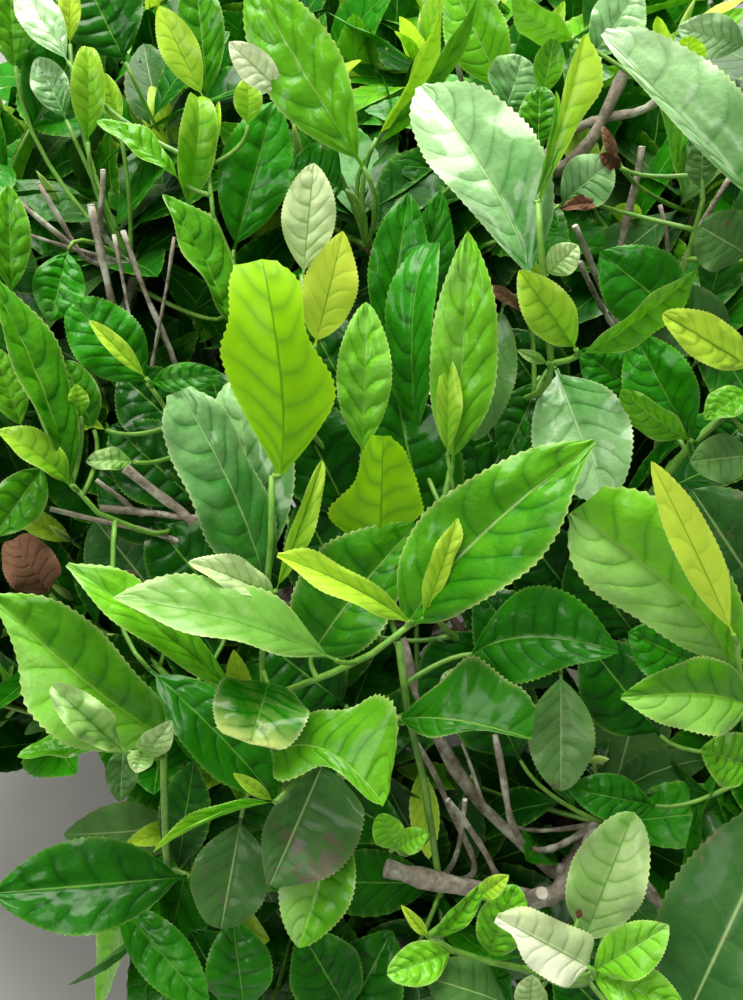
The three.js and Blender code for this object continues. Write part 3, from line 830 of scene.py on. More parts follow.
# Outlines of the nearest leaves: half the width left and right of the midrib, in percent of the
# widest, at even steps from stalk to tip
BIG_UNDERSIDE = (
    (5, 40, 64, 87, 90, 73, 52, 49, 54, 54, 20),
    (5, 28, 48, 66, 83, 91, 96, 73, 66, 62, 46),
)
ROUND_TIPPED = (
    (5, 41, 70, 91, 94, 90, 86, 87, 80, 70, 25),
    (5, 35, 52, 60, 62, 60, 56, 58, 62, 55, 20),
)
BROAD_POINTED = (
    (15, 60, 80, 91, 90, 80, 74, 68, 56, 34, 2),
    (5, 52, 68, 84, 94, 100, 92, 76, 48, 20, 1),
)
BROAD_BEHIND = (
    (5, 62, 86, 95, 100, 100, 99, 82, 62, 40, 4),
    (5, 50, 68, 74, 74, 70, 62, 49, 38, 24, 3),
)
SMALL_UNDERSIDE = (
    (5, 18, 36, 57, 79, 72, 66, 58, 46, 40, 10),
    (5, 33, 63, 90, 100, 75, 51, 43, 39, 34, 20),
)
BOWED = (
    (5, 31, 59, 83, 96, 100, 100, 93, 78, 48, 3),
    (5, 53, 82, 92, 91, 81, 64, 48, 36, 24, 1),
)
BLUNT_BROAD = (
    (5, 25, 42, 54, 62, 70, 78, 80, 72, 55, 2),
    (5, 39, 54, 70, 81, 90, 96, 100, 100, 92, 62),
)
HALF_FOLDED = (
    (5, 30, 62, 81, 94, 100, 100, 94, 69, 37, 3),
    (5, 20, 30, 38, 42, 46, 46, 50, 56, 45, 6),
)
EDGE_ON = (
    (5, 12, 15, 16, 16, 15, 14, 13, 12, 10, 2),
    (5, 50, 80, 95, 100, 100, 92, 80, 66, 50, 8),
)
EVEN = (
    (5, 60, 90, 100, 99, 95, 87, 78, 59, 34, 2),
    (5, 45, 72, 89, 97, 100, 94, 81, 65, 38, 2),
)
FULLER_RIGHT = (
    (5, 25, 38, 48, 58, 66, 73, 70, 61, 44, 5),
    (5, 60, 82, 96, 98, 100, 95, 85, 70, 44, 3),
)
TURNED_IN = (
    (5, 56, 82, 97, 100, 99, 93, 55, 30, 15, 2),
    (5, 51, 62, 66, 74, 82, 85, 83, 72, 44, 2),
)
SADDLE = (
    (5, 40, 42, 46, 50, 62, 91, 98, 100, 74, 10),
    (5, 36, 54, 46, 24, 16, 14, 14, 14, 12, 2),
)
NARROW_BUD = (
    (5, 16, 20, 19, 17, 18, 25, 29, 29, 21, 3),
    (5, 10, 20, 34, 46, 58, 80, 100, 87, 62, 7),
)
LONG_EVEN = (
    (5, 39, 62, 79, 91, 98, 100, 98, 81, 50, 4),
    (5, 28, 45, 56, 68, 81, 88, 92, 80, 50, 5),
)
OLD_BROAD = (
    (30, 80, 93, 97, 100, 100, 95, 84, 66, 42, 10),
    (5, 38, 46, 43, 44, 46, 46, 41, 32, 20, 5),
)
TORN = (
    (5, 83, 95, 100, 100, 97, 90, 72, 25, 25, 20),
    (5, 95, 100, 95, 90, 88, 86, 84, 80, 55, 10),
)
CUT_SHORT = (
    (5, 25, 42, 58, 80, 100, 92, 80, 70, 68, 45),
    (5, 20, 28, 30, 22, 14, 8, 5, 4, 3, 2),
)
# Each front leaf: pixel and depth in mm of its stalk, the same of its tip, its width in mm, its turn
# in degrees about its length, 180 for the underside to the camera, its tone, and what else differs
FRONT_LEAVES = {
    "mature": (
        # Between the front shoots
        ((150, 670, 445), (277, 800, 436), 34, -20, 0.6),
        ((418, 440, 452), (434, 243, 440), 26, -30, 0.8, {"curl": 0.9, "blunt": 0.9}),
        ((385, 350, 460), (409, 192, 450), 27, 0, 0.6),
        ((430, 560, 462), (395, 385, 452), 48, 0, 0.2),
        ((412, 330, 468), (440, 190, 460), 22, 20, 0.8),
        ((345, 190, 470), (288, 168, 462), 34, 20, 0.7),
        ((541, 378, 470), (503, 462, 462), 24, 0, 0.3),
        ((692, 440, 452), (634, 332, 445), 32, -10, 0.8),
        ((747, 420, 457), (695, 472, 450), 36, 0, 0.2),
        ((690, 325, 470), (600, 252, 462), 38, 0, 0.5),
        ((640, 395, 468), (580, 350, 460), 24, 0, 0.7),
        ((700, 665, 438), (628, 632, 430), 30, 0, 0.8),
        ((473, 654, 440), (618, 651, 418), 44, 0, 0.55,
         {"margins": BOWED, "sway": -0.11, "quilt": 1.0}),
        ((187, 877, 452), (-6, 893, 432), 41, 0, 0.35, {"quilt": 1.8}),
        ((114, 898, 470), (208, 1008, 460), 25, 0, 0.9, {"quilt": 1.6}),
        ((245, 1015, 475), (232, 918, 468), 32, 0, 0.6),
        ((350, 1015, 480), (300, 930, 475), 36, 0, 0.3),
        ((655, 806, 470), (567, 788, 465), 22, 0, 0.5),
        # Leaves toned darkest, a painted shade, that close the gaps behind
        ((352, 520, 486), (290, 395, 476), 46, 0, 0.0),
        ((300, 520, 492), (352, 392, 480), 42, 10, 0.1),
        ((560, 690, 486), (478, 590, 478), 44, 0, 0.0),
        ((640, 640, 484), (575, 548, 476), 44, -10, 0.1),
        ((560, 420, 494), (500, 330, 486), 40, 0, 0.0),
        ((455, 560, 490), (505, 440, 482), 46, 0, 0.1),
        ((360, 620, 494), (300, 500, 486), 44, 0, 0.0),
        ((520, 760, 494), (470, 660, 486), 44, 0, 0.1),
        ((240, 480, 500), (210, 370, 492), 40, 0, 0.1),
        ((352, 402, 488), (305, 312, 480), 40, 0, 0.1),
        ((200, 505, 496), (112, 425, 488), 42, 0, 0.1),
        ((190, 540, 500), (100, 470, 492), 42, 0, 0.0),
        ((190, 440, 502), (120, 375, 494), 40, 10, 0.0),
        ((520, 500, 490), (470, 395, 482), 42, 0, 0.0),
        ((660, 735, 488), (585, 640, 480), 44, 0, 0.1),
        ((125, 62, 512), (84, -24, 504), 44, 0, 0.3),
        ((222, 604, 500), (152, 520, 492), 40, 0, 0.0),
        ((585, 612, 490), (520, 528, 482), 42, 0, 0.0),
        ((345, 705, 482), (262, 640, 474), 42, 0, 0.1),
        ((625, 1035, 484), (556, 962, 476), 42, 0, 0.0),
        ((500, 640, 492), (420, 700, 486), 40, 0, 0.0),
        ((70, 90, 520), (10, -10, 512), 40, 0, 0.3),
        ((30, 130, 516), (88, 30, 508), 38, 0, 0.5),
        ((250, 1040, 490), (190, 930, 484), 44, 0, 0.1),
        ((330, 1050, 494), (392, 930, 486), 44, 0, 0.2),
        ((420, 1045, 496), (330, 960, 488), 42, 0, 0.0),
        # Upper left, further off
        ((234, 250, 500), (274, 102, 488), 36, 0, 0.8, {"quilt": 1.7, "blunt": 0.3}),
        ((68, 250, 490), (50, 322, 485), 25, 0, 0.9),
        ((147, 384, 468), (73, 303, 455), 33, 0, 0.8, {"quilt": 1.7, "blunt": 0.8}),
        ((149, 382, 470), (222, 374, 462), 15, 0, 1.0, {"quilt": 1.4}),
    ),
    "grown": (
        ((410, 621, 412), (595, 442, 396), 52, -8, 0.25,
         {"margins": BROAD_POINTED, "sway": -0.04, "quilt": 2.0, "tip_tint_and_light": 0.4, "painted_half_sheen": 0.1}),
        ((313, 654, 432), (416, 524, 427), 52, 5, 0.1,
         {"margins": BROAD_BEHIND, "sway": -0.03, "quilt": 1.0}),
        ((234, 692, 420), (67, 565, 398), 26, 25, 0.8,
         {"fold": 0.6, "margins": LONG_EVEN, "quilt": 1.8, "tip_tint_and_light": 0.8}),
        ((163, 736, 432), (-9, 595, 404), 50, -8, 0.8,
         {"margins": TURNED_IN, "sway": -0.02, "quilt": 1.2, "painted_half_sheen": 0.45}),
        ((105, 750, 432), (17, 757, 420), 18, 55, 0.3),
        ((452, 466, 430), (468, 231, 407), 31, 12, 0.95,
         {"quilt": 2.0, "widest": 0.45, "painted_half_sheen": 0.15}),
        ((362, 455, 432), (366, 302, 418), 25, 0, 1.05, {"quilt": 2.2, "blunt": 0.3}),
        ((234, 332, 440), (162, 194, 420), 34, 55, 0.3),
        ((363, 167, 452), (249, -22, 440), 37, -8, 0.65, {"quilt": 3.2, "fold": 0.25, "painted_half_sheen": -0.1}),
        ((372, 150, 475), (477, -2, 455), 20, 60, 0.6),
        ((579, 356, 428), (697, 269, 412), 24, 50, 0.5),
        ((543, 97, 478), (554, 37, 470), 16, 0, 0.6, {"quilt": 0.1, "fold": 0.5}),
        ((538, 150, 470), (540, 86, 464), 20, 0, 0.2, {"blunt": 0.5}),
        ((575, 40, 470), (512, -2, 462), 22, -40, 1.0),
        ((505, 92, 490), (452, -14, 480), 32, 0, 0.7, {"quilt": 0.4}),
        ((690, 440, 446), (621, 389, 440), 20, -35, 0.6, {"blunt": 0.4}),
        ((752, 392, 440), (705, 420, 432), 18, 30, 0.6),
        ((731, 668, 427), (572, 511, 404), 56, -8, 1.15,
         {"margins": BLUNT_BROAD, "sway": 0.07, "quilt": 2.4, "painted_half_sheen": 0.35}),
        ((747, 706, 422), (621, 697, 402), 34, -10, 0.85,
         {"margins": EVEN, "sway": 0.07, "quilt": 0.5, "painted_half_sheen": 0.45}),
        ((753, 768, 430), (701, 748, 425), 26, 0, 0.6),
        ((402, 719, 430), (532, 739, 412), 56, 0, -0.15,
         {"quilt": 0.5, "margins": CUT_SHORT, "fold": 0.15, "sway": -0.05, "painted_half_sheen": -0.1}),
        ((275, 754, 416), (384, 804, 396), 64, 0, 0.5,
         {"bend": 0.9, "fold": 0.2, "margins": SADDLE, "sway": -0.18, "quilt": 0.6, "tip_tint_and_light": 0.3}),
        ((338, 808, 446), (299, 948, 432), 35, 0, 0.85,
         {"quilt": 0.6, "painted_half_sheen": -0.5, "bend": 0.3, "tip_tint_and_light": 0.3}),
        ((396, 848, 440), (428, 832, 434), 12, 0, 0.9, {"quilt": 0.2}),
        ((396, 848, 440), (379, 814, 434), 15, 0, 0.9, {"quilt": 0.2, "blunt": 0.8}),
        ((432, 937, 412), (486, 880, 402), 14, 20, 0.6, {"fold": 0.9, "bend": 0.6}),
        ((452, 952, 415), (387, 975, 405), 18, 0, 1.0, {"blunt": 0.5}),
        ((592, 972, 407), (669, 925, 397), 22, 10, 1.0, {"quilt": 0.4, "tip_tint_and_light": 0.5}),
        ((489, 958, 420), (517, 885, 412), 22, 0, 0.6, {"blunt": 0.7}),
        ((590, 976, 410), (684, 1006, 400), 22, 0, 1.0),
        ((208, 100, 490), (195, -32, 478), 24, 0, 0.2),
        ((180, 180, 480), (96, 121, 465), 22, 55, 0.6),
        ((15, 66, 490), (9, -22, 480), 22, 0, 0.5),
        ((12, 295, 470), (8, 184, 460), 20, 0, 0.4),
        ((94, 430, 462), (64, 361, 452), 20, 0, 0.1, {"blunt": 0.8, "quilt": 0.3}),
        ((74, 486, 455), (-14, 272, 432), 30, 40, 0.2, {"fold": 0.5}),
        ((22, 428, 448), (-8, 345, 436), 18, 0, 0.8),
        ((45, 465, 462), (-6, 536, 450), 24, 0, 0.2),
    ),
    "young": (
        ((276, 590, 410), (322, 460, 398), 15, 20, 0.3, {"fold": 0.9, "blunt": 0.6}),
        ((424, 616, 408), (457, 518, 398), 19, 20, 0.6, {"fold": 0.7, "margins": HALF_FOLDED}),
        ((407, 621, 408), (277, 556, 388), 29, 25, 0.5,
         {"fold": 0.8, "bend": 0.7, "margins": HALF_FOLDED}),
        ((273, 801, 412), (233, 773, 405), 7, 0, 0.4),
        ((447, 455, 418), (448, 354, 412), 14, 10, 0.3, {"fold": 0.7, "quilt": 0.1}),
        ((315, 345, 437), (343, 231, 427), 24, 10, 1.6,
         {"quilt": 0.1, "widest": 0.45, "blunt": 0, "fold": 0.2}),
        ((377, 138, 470), (441, 9, 455), 22, 60, 0.5),
        ((248, 125, 472), (248, 79, 466), 16, 0, 0.2, {"blunt": 0.8}),
        ((540, 199, 404), (585, 35, 388), 24, 15, 0.3, {"fold": 0.4, "margins": NARROW_BUD}),
        ((535, 200, 404), (556, 91, 396), 15, 40, -0.2, {"fold": 1.1}),
        ((576, 349, 425), (519, 270, 410), 24, 0, 0.2, {"bend": 0.5}),
        ((752, 369, 430), (662, 314, 412), 22, 15, 0.7, {"fold": 0.5, "quilt": 1.5, "blunt": 0.6}),
        ((733, 634, 402), (651, 461, 376), 18, 15, 1.5, {"fold": 0.4, "quilt": 0.6, "blunt": 0.2}),
        ((275, 802, 402), (153, 853, 390), 17, 35, -0.1, {"fold": 1.3, "bend": 0.8}),
        ((476, 899, 402), (509, 875, 396), 9, 0, 0.2, {"fold": 0.5}),
        ((428, 937, 412), (401, 905, 404), 8, 0, 0.7, {"fold": 0.9}),
        ((203, 97, 480), (159, 6, 470), 19, 0, 0.5, {"fold": 0.35, "quilt": 0.1}),
        ((187, 207, 488), (197, 97, 478), 22, 10, -0.1, {"curl": 1.5, "blunt": 0.7}),
        ((208, 166, 480), (219, 101, 474), 12, 0, 0.5, {"fold": 1.1}),
        ((88, 142, 485), (88, 47, 476), 19, 0, 0.1, {"curl": 0.8, "blunt": 0.6}),
        ((119, 130, 485), (105, 73, 480), 12, 0, 0.3),
        ((70, 44, 495), (69, -22, 490), 13, 0, 1.0),
        ((146, 378, 455), (89, 320, 446), 12, 10, 0.5, {"fold": 0.8}),
        ((81, 416, 455), (76, 384, 450), 11, 0, 0.0),
        ((71, 485, 450), (-3, 430, 436), 20, 30, 0.1, {"bend": 0.9}),
        ((106, 430, 466), (66, 416, 460), 8, 40, 0.6),
    ),
    "old": (
        ((124, 742, 440), (120, 802, 432), 14, 0, 0.6, {"blunt": 0}),
        ((503, 306, 446), (474, 441, 438), 24, 0, 0.9, {"blunt": 0.5, "quilt": 0.1}),
        ((749, 255, 450), (699, 226, 445), 28, 0, 0.6, {"blunt": 0.9}),
        ((701, 190, 458), (703, 140, 450), 14, 0, 0.9),
        ((735, 340, 475), (640, 300, 468), 32, 0, 0.4),
        ((752, 455, 448), (690, 462, 440), 22, 0, 1.0),
        ((765, 600, 452), (692, 490, 442), 50, 0, 0.1),
        ((561, 673, 460), (561, 791, 455), 30, 0, 1.0, {"wither": 0.05}),
        ((321, 768, 438), (270, 885, 426), 54, 0, 0.4,
         {"margins": OLD_BROAD, "wither": 0.22, "bend": 0.3}),
        ((241, 818, 457), (221, 929, 448), 35, 0, 0.4, {"blunt": 0.7}),
        ((676, 1040, 440), (788, 800, 440), 56, 0, 0.2, {"widest": 0.45, "wither": -0.02}),
        ((510, 1006, 425), (425, 978, 415), 26, 20, 0.6),
        ((160, 600, 502), (95, 520, 494), 40, 0, 0.0),
    ),
    "lit": (
        ((280, 474, 402), (262, 259, 388), 48, 180, 0.6,
         {"curl": -0.8, "margins": BIG_UNDERSIDE, "sway": -0.04, "wave": 0.05}),
        ((380, 564, 428), (383, 436, 410), 50, 180, 0.4, {"fold": 0.4, "margins": SMALL_UNDERSIDE}),
        ((688, 73, 440), (689, 36, 436), 15, 180, 0.9),
    ),
    "pale": (
        ((276, 600, 420), (188, 562, 405), 20, 20, 0.5, {"fold": 0.8, "bend": 0.9, "wave": 0.2}),
        ((335, 660, 415), (113, 598, 388), 36, 40, -0.1,
         {"fold": 0.5, "bend": 0.5, "quilt": 1.2, "tip_tint_and_light": 0.2}),
        ((121, 749, 409), (52, 686, 397), 22, 0, 0.1,
         {"fold": 0.8, "curl": 0.6, "wave": 0.5, "blunt": 0.5}),
        ((140, 752, 412), (172, 720, 402), 13, 20, 0.2, {"bend": 1.2}),
        ((143, 750, 412), (136, 773, 404), 11, 0, 0.1, {"bend": 0.9, "tip_tint_and_light": 0.5}),
        ((303, 275, 450), (314, 163, 440), 24, 0, 0.6, {"fold": 0.2, "blunt": 0.3}),
        ((285, 95, 446), (229, 42, 436), 16, 0, 1.2),
        ((547, 274, 415), (578, 245, 408), 14, 0, 0.2, {"bend": 1.0}),
        ((547, 363, 430), (517, 350, 426), 8, 0, 0.0, {"fold": 0.9, "quilt": 0}),
        ((582, 944, 442), (634, 812, 430), 34, 0, 0.2,
         {"blunt": 0.6, "quilt": 0.2, "bend": 0.3, "wave": 0.2, "tip_tint_and_light": -0.5, "painted_half_sheen": -0.1}),
        ((587, 966, 402), (496, 917, 392), 24, 0, 1.2,
         {"wave": 0.12, "margins": TORN, "painted_half_sheen": 0.5, "quilt": 0.3}),
        ((530, 1012, 412), (532, 975, 406), 14, 0, 0.3, {"blunt": 0.6}),
        ((441, 693, 446), (461, 667, 440), 9, 0, 0.3),
        ((134, 462, 470), (86, 462, 462), 12, 20, 0.0, {"bend": 1.0, "wave": 0.2}),
    ),
    # Leaves whose whitish sheen is a painted reflection of the sky
    "painted_reflection": (
        ((264, 585, 428), (180, 391, 404), 40, 10, -0.35,
         {"margins": ROUND_TIPPED, "sway": 0.03, "quilt": 2.2}),
        ((264, 572, 430), (237, 375, 426), 40, -10, 0.0, {"quilt": 1.4}),
        ((528, 271, 418), (421, 86, 442), 50, 0, 0.2,
         {"margins": FULLER_RIGHT, "sway": 0.05, "painted_half_sheen": 0.12, "quilt": 1.0}),
        ((503, 115, 475), (522, 56, 478), 30, 20, 0.0),
        ((590, 60, 485), (640, -12, 480), 26, 0, 0.2),
        ((762, 202, 425), (602, 34, 448), 46, 0, 0.25,
         {"fold": 0.1, "margins": EDGE_ON, "quilt": 1.0, "tip_tint_and_light": 0.6}),
        ((560, 205, 470), (612, 160, 462), 25, 0, 0.0, {"painted_half_sheen": 0.15, "quilt": 0.4}),
        ((747, 45, 480), (678, 27, 476), 20, 0, 0.4),
        ((556, 369, 462), (607, 502, 442), 44, 0, 0.1, {"blunt": 0.5, "quilt": 0.5, "painted_half_sheen": -0.1}),
        ((68, 62, 478), (18, -14, 484), 20, 10, 0.7),
        ((66, 120, 488), (38, 57, 488), 18, 0, 0.1),
    ),
    # A leaf whose pale tip is a painted light, lit from behind
    "painted_lit_tip": (
        ((268, 684, 428), (250, 744, 396), 39, 0, 0.1, {"tip_tint_and_light": 1.2}),
    ),
    "dry": (
        ((578, 919, 426), (580, 909, 426), 3, 0, 0.5, {"bend": 0.0, "fold": 0.0, "curl": 0.0}),
        ((50, 594, 500), (12, 540, 492), 28, 0, 0.9, {"quilt": 0.1}),
        ((617, 160, 466), (602, 126, 458), 6, 0, 1.1),
        ((621, 168, 464), (600, 154, 460), 8, 0, 0.3, {"bend": 0.3}),
        ((598, 205, 468), (560, 210, 462), 8, 20, 0.8),
        ((524, 312, 448), (482, 288, 440), 7, 20, 1.2),
    ),
}
# Pixel and depth of each stem's points, from its tip down, and its radius at tip and foot, in mm
FRONT_STEMS = (
    (((272, 476, 402), (271, 540, 409), (266, 600, 421), (262, 665, 442)), 1.3, 1.7),
    (((415, 621, 412), (372, 654, 422), (332, 673, 428), (262, 700, 450)), 1.4, 1.8),
    (((163, 718, 430), (164, 780, 436), (166, 850, 450)), 1.6, 1.9),
    (((538, 203, 404), (541, 250, 408), (546, 300, 418), (551, 363, 438)), 1.4, 1.8),
    (((275, 802, 402), (294, 784, 412), (312, 762, 430)), 1.0, 1.3),
    (((447, 454, 418), (454, 492, 430), (458, 530, 445)), 0.8, 1.0),
    (((736, 640, 411), (742, 700, 425), (750, 770, 445)), 1.4, 1.8),
    (((428, 936, 412), (452, 950, 416), (490, 962, 420), (520, 968, 426), (565, 985, 440)), 1.3, 1.8),
    (((302, 274, 450), (301, 330, 455), (298, 390, 462)), 1.2, 1.5),
    (((208, 166, 480), (213, 215, 485), (234, 264, 494)), 1.1, 1.4),
    (((452, 464, 430), (440, 520, 442), (430, 580, 458)), 1.4, 1.8),
    (((398, 640, 428), (408, 714, 440), (424, 780, 455), (437, 866, 475)), 1.6, 1.8),
    (((701, 137, 452), (703, 199, 458), (689, 250, 468)), 1.1, 1.4),
    (((752, 392, 440), (692, 444, 452), (664, 478, 465)), 2.0, 2.2),
    (((147, 382, 468), (160, 400, 474), (185, 440, 485)), 1.1, 1.4),
    (((72, 484, 455), (98, 513, 464), (140, 530, 475)), 1.2, 1.5),
)
# The same of the bare sticks, the cut or broken end first, and whether the cut's pale wood shows
FRONT_STICKS = (
    (((386, 868, 470), (425, 879, 472), (470, 888, 476), (530, 900, 490)), 4.3, 4.6, True),
    (((400, 640, 490), (420, 700, 492), (467, 792, 498), (547, 868, 510)), 3.0, 4.0, False),
    (((448, 800, 470), (464, 820, 474), (484, 850, 480), (497, 876, 488)), 1.4, 1.9, True),
    (((465, 800, 468), (463, 820, 474)), 1.2, 1.4, True),
    (((412, 736, 466), (434, 772, 474), (446, 800, 480), (470, 850, 492)), 1.3, 1.7, False),
    (((495, 735, 480), (503, 775, 484), (509, 816, 490), (520, 840, 496)), 1.6, 2.0, False),
    (((462, 742, 485), (472, 770, 488), (482, 800, 494)), 1.0, 1.3, False),
    (((630, 878, 478), (646, 892, 482), (664, 912, 488)), 1.6, 2.0, True),
    (((542, 893, 452), (532, 896, 470)), 3.0, 3.4, True),
    (((38, 183, 488), (58, 216, 494), (78, 250, 502)), 1.2, 1.5, True),
    (((21, 204, 486), (48, 226, 492), (76, 249, 502)), 1.2, 1.4, True),
    (((12, 230, 488), (45, 240, 494), (78, 250, 502)), 1.0, 1.3, True),
    (((103, 170, 490), (103, 190, 494), (100, 215, 500)), 1.3, 1.5, True),
    (((91, 205, 492), (98, 240, 496), (106, 276, 500), (114, 312, 508)), 2.0, 2.2, True),
    (((123, 231, 486), (136, 268, 490), (148, 300, 494), (160, 326, 500)), 1.2, 1.6, True),
    (((174, 237, 480), (168, 280, 486), (160, 322, 496)), 0.9, 1.2, False),
    (((114, 235, 490), (124, 285, 496), (133, 335, 506)), 1.0, 1.2, True),
    (((125, 468, 480), (160, 496, 486), (186, 514, 490), (220, 560, 500)), 2.2, 2.6, False),
    (((100, 508, 482), (145, 512, 486), (190, 518, 492)), 1.7, 2.0, False),
    (((51, 509, 470), (96, 520, 478), (150, 531, 486), (196, 548, 496)), 1.3, 1.8, True),
    (((96, 480, 478), (118, 496, 482), (136, 511, 488)), 1.2, 1.5, False),
    (((642, 147, 482), (637, 178, 486), (628, 214, 492), (620, 250, 500)), 1.8, 2.0, True),
    (((632, 55, 488), (616, 90, 492), (600, 125, 500)), 3.0, 3.4, False),
    (((668, 95, 488), (640, 112, 492), (604, 118, 500)), 2.2, 2.6, False),
    (((733, 173, 470), (716, 200, 474), (703, 222, 480), (688, 254, 490)), 1.4, 1.8, False),
    (((575, 226, 470), (584, 246, 476), (594, 270, 484), (606, 300, 494)), 1.4, 1.8, True),
    (((580, 262, 478), (590, 285, 484), (602, 308, 494)), 1.2, 1.6, True),
    (((450, 42, 486), (456, 62, 492), (462, 82, 500)), 1.2, 1.4, True),
    (((660, 205, 488), (666, 228, 492), (668, 252, 500)), 1.0, 1.3, False),
)


FINE_COLUMNS, FINE_ROWS = 14, 56
JOIN = {"turning": 1.9, "weight": 1.2, "bend": 0.4, "least": 0.0005}
LIMB_SHARES = np.linspace(0.1, 1, 30)  # places along a limb where a stem may join it
SHORTEST_TWIG = 3  # points; what is left of a twig is dropped if it has no more
LEAF_COURSE = np.linspace(0, 0.95, 8)[:, None]  # shares of a front leaf's length that count as it
STEM_COURSE = 20  # points of a front stem or stick that count as it
FRONT_DEPTH = 450  # nearer than this, in mm, only front leaves are in sight
FRAME_MARGIN = 35
# What grows by rule keeps off the front leaves: by pixels beside one and mm before it, and it is
# hidden from so many pixels inside one's edge and mm behind it
CLEARANCE = {"beside": 12, "before": 14, "inside": 4, "behind": 8}
BETWEEN = (0, 0.2, 0.4, 0.6, 0.8)  # where a spur may join between two points of a front stem
SPUR = {"tip": 0.0010, "foot": 0.0013}
KNOTTY = 0.2  # how much thicker or thinner a stick may be at a knot
CUT_DISC = {"ends": (-0.0004, 0.0003), "width": 0.93}


def front_leaf(kind, stalk, tip, width, turn, tone, form=None):
    """A leaf with its stalk and tip where the photograph shows them, whatever its bend."""
    form = {**FORMS[kind], "tone": tone, **(form or {})}
    form["quilt"] /= METRE
    root, chord = at_pixel(*stalk), at_pixel(*tip) - at_pixel(*stalk)
    along = (np.arange(FINE_ROWS) + 0.5) / FINE_ROWS
    slope = form["bend"] * along + form.get("curl", 0) * along**4
    ahead, fall = np.cos(slope).mean(), np.sin(slope).mean()
    straight = unit(chord)
    to_camera = EYE - root - chord / 2
    face = unit(to_camera - straight * (straight @ to_camera))
    face = turned(face, np.cross(straight, face), math.radians(turn))
    tilt = math.atan2(fall, ahead)
    heading = turned(straight, face, tilt)
    face = turned(face, -straight, tilt)
    length = np.linalg.norm(chord) / math.hypot(ahead, fall)
    return leaf(root, heading, face, length, width / METRE, **form)


def way_to(point, targets, heading):
    """A short arch from a point back to a near target that lies behind it as it is headed."""
    gaps = targets - point
    distances = np.linalg.norm(gaps, axis=1) + JOIN["least"]
    behind = -(gaps @ heading) / distances
    best = np.argmin(distances * (JOIN["turning"] - behind) ** JOIN["weight"])
    bend = point - JOIN["bend"] * distances[best] * heading
    return arch(point, bend, targets[best], shares_up_to("join"))


front_leaves = {kind: [front_leaf(kind, *row) for row in rows] for kind, rows in FRONT_LEAVES.items()}
front_blades = [blade for leaves in front_leaves.values() for blade in leaves]
in_front = []  # pixel, depth and half the breadth in pixels of points all over the front
for blade in front_blades:
    run = LEAF_COURSE * blade["length"]
    drop = LEAF_COURSE**2 * blade["length"] * math.sin(blade["bend"] / 2)
    for point in blade["root"] + run * blade["heading"] - drop * blade["face"]:
        x, y, depth = pixel_of(point)
        in_front.append((x, y, depth, blade["width"] * METRE / 2 * PIXELS_A_UNIT / depth))
for course, radius, *rest in FRONT_STEMS + FRONT_STICKS:
    for at in np.linspace(0, len(course) - 1, STEM_COURSE):
        x, y, depth = (np.interp(at, range(len(course)), values) for values in zip(*course))
        in_front.append((x, y, depth, radius * PIXELS_A_UNIT / depth))
in_front = np.array(in_front)


def in_frame(x, y, margin):
    beside, above = abs(x - PHOTO_WIDTH / 2), abs(y - PHOTO_HEIGHT / 2)
    return beside < PHOTO_WIDTH / 2 + margin and above < PHOTO_HEIGHT / 2 + margin


def in_sight(point):
    """Whether a point would stand before a front leaf, or in sight as near as the front leaves."""
    x, y, depth = pixel_of(point)
    if not in_frame(x, y, FRAME_MARGIN) or depth < 0:
        return False
    away = np.hypot(in_front[:, 0] - x, in_front[:, 1] - y) - in_front[:, 3]
    before = np.any((away < CLEARANCE["beside"]) & (depth < in_front[:, 2] + CLEARANCE["before"]))
    hidden = np.any((away < -CLEARANCE["inside"]) & (depth > in_front[:, 2] + CLEARANCE["behind"]))
    return bool(before or (depth < FRONT_DEPTH and not hidden))


def out_of_sight(run):
    """The part of a tapered run before it comes in sight among the front leaves."""
    points, radii = run
    count = next((k for k, point in enumerate(points) if in_sight(point)), len(points))
    return points[:count], radii[:count]


def joined_course(course):
    """A stem or stick from its tip, where the photograph shows it, back to the wood behind."""
    points = [at_pixel(*point) for point in course]
    join = way_to(points[-1], wood_points, unit(points[-2] - points[-1]))
    return np.concatenate([points[:-1], join])


twig_runs = [run for run in map(out_of_sight, twig_runs) if len(run[0]) > SHORTEST_TWIG]
limb_points = [arch(limb.foot, limb.bend, limb.tip, LIMB_SHARES) for limb in limbs]
wood_points = np.concatenate([points for points, radii in stem_runs + twig_runs] + limb_points)
front_runs = [
    tapered(joined_course(course), tip_radius / METRE, foot_radius / METRE)
    for course, tip_radius, foot_radius in FRONT_STEMS
]
stem_points = np.concatenate([
    points[:-1] + (points[1:] - points[:-1]) * share for points, radii in front_runs for share in BETWEEN
])
carrier_points = np.concatenate([wood_points, stem_points])
spur_runs = [
    tapered(way_to(blade["root"], carrier_points, blade["heading"]), SPUR["tip"], SPUR["foot"])
    for blade in front_blades
]
stick_runs, cuts = [], []
for course, tip_radius, foot_radius, is_cut in FRONT_STICKS:
    points, tip_radius, foot_radius = joined_course(course), tip_radius / METRE, foot_radius / METRE
    run, fine = np.linspace(0, 1, len(points)), shares_up_to("stick")
    finer = np.stack([np.interp(fine, run, points[:, axis]) for axis in range(3)], axis=1)
    chance = seeded(int(course[0][0]))
    knots = np.array([1 + chance(KNOTTY) for k in fine])
    stick_runs.append((finer, np.linspace(tip_radius, foot_radius, len(fine)) * knots))
    if is_cut:
        outward = unit(points[0] - points[1])
        cut = points[0] + np.outer(CUT_DISC["ends"], outward)
        cuts.append((cut, np.full(2, tip_radius * CUT_DISC["width"])))
fine_sheet = flat_leaf(FINE_COLUMNS, FINE_ROWS)
for kind, leaves in front_leaves.items():
    piece = joined_leaves(f"front_{kind}_leaves", fine_sheet, leaves, TEETH_REACH)
    finish_foliage(piece, leaf_materials[kind])

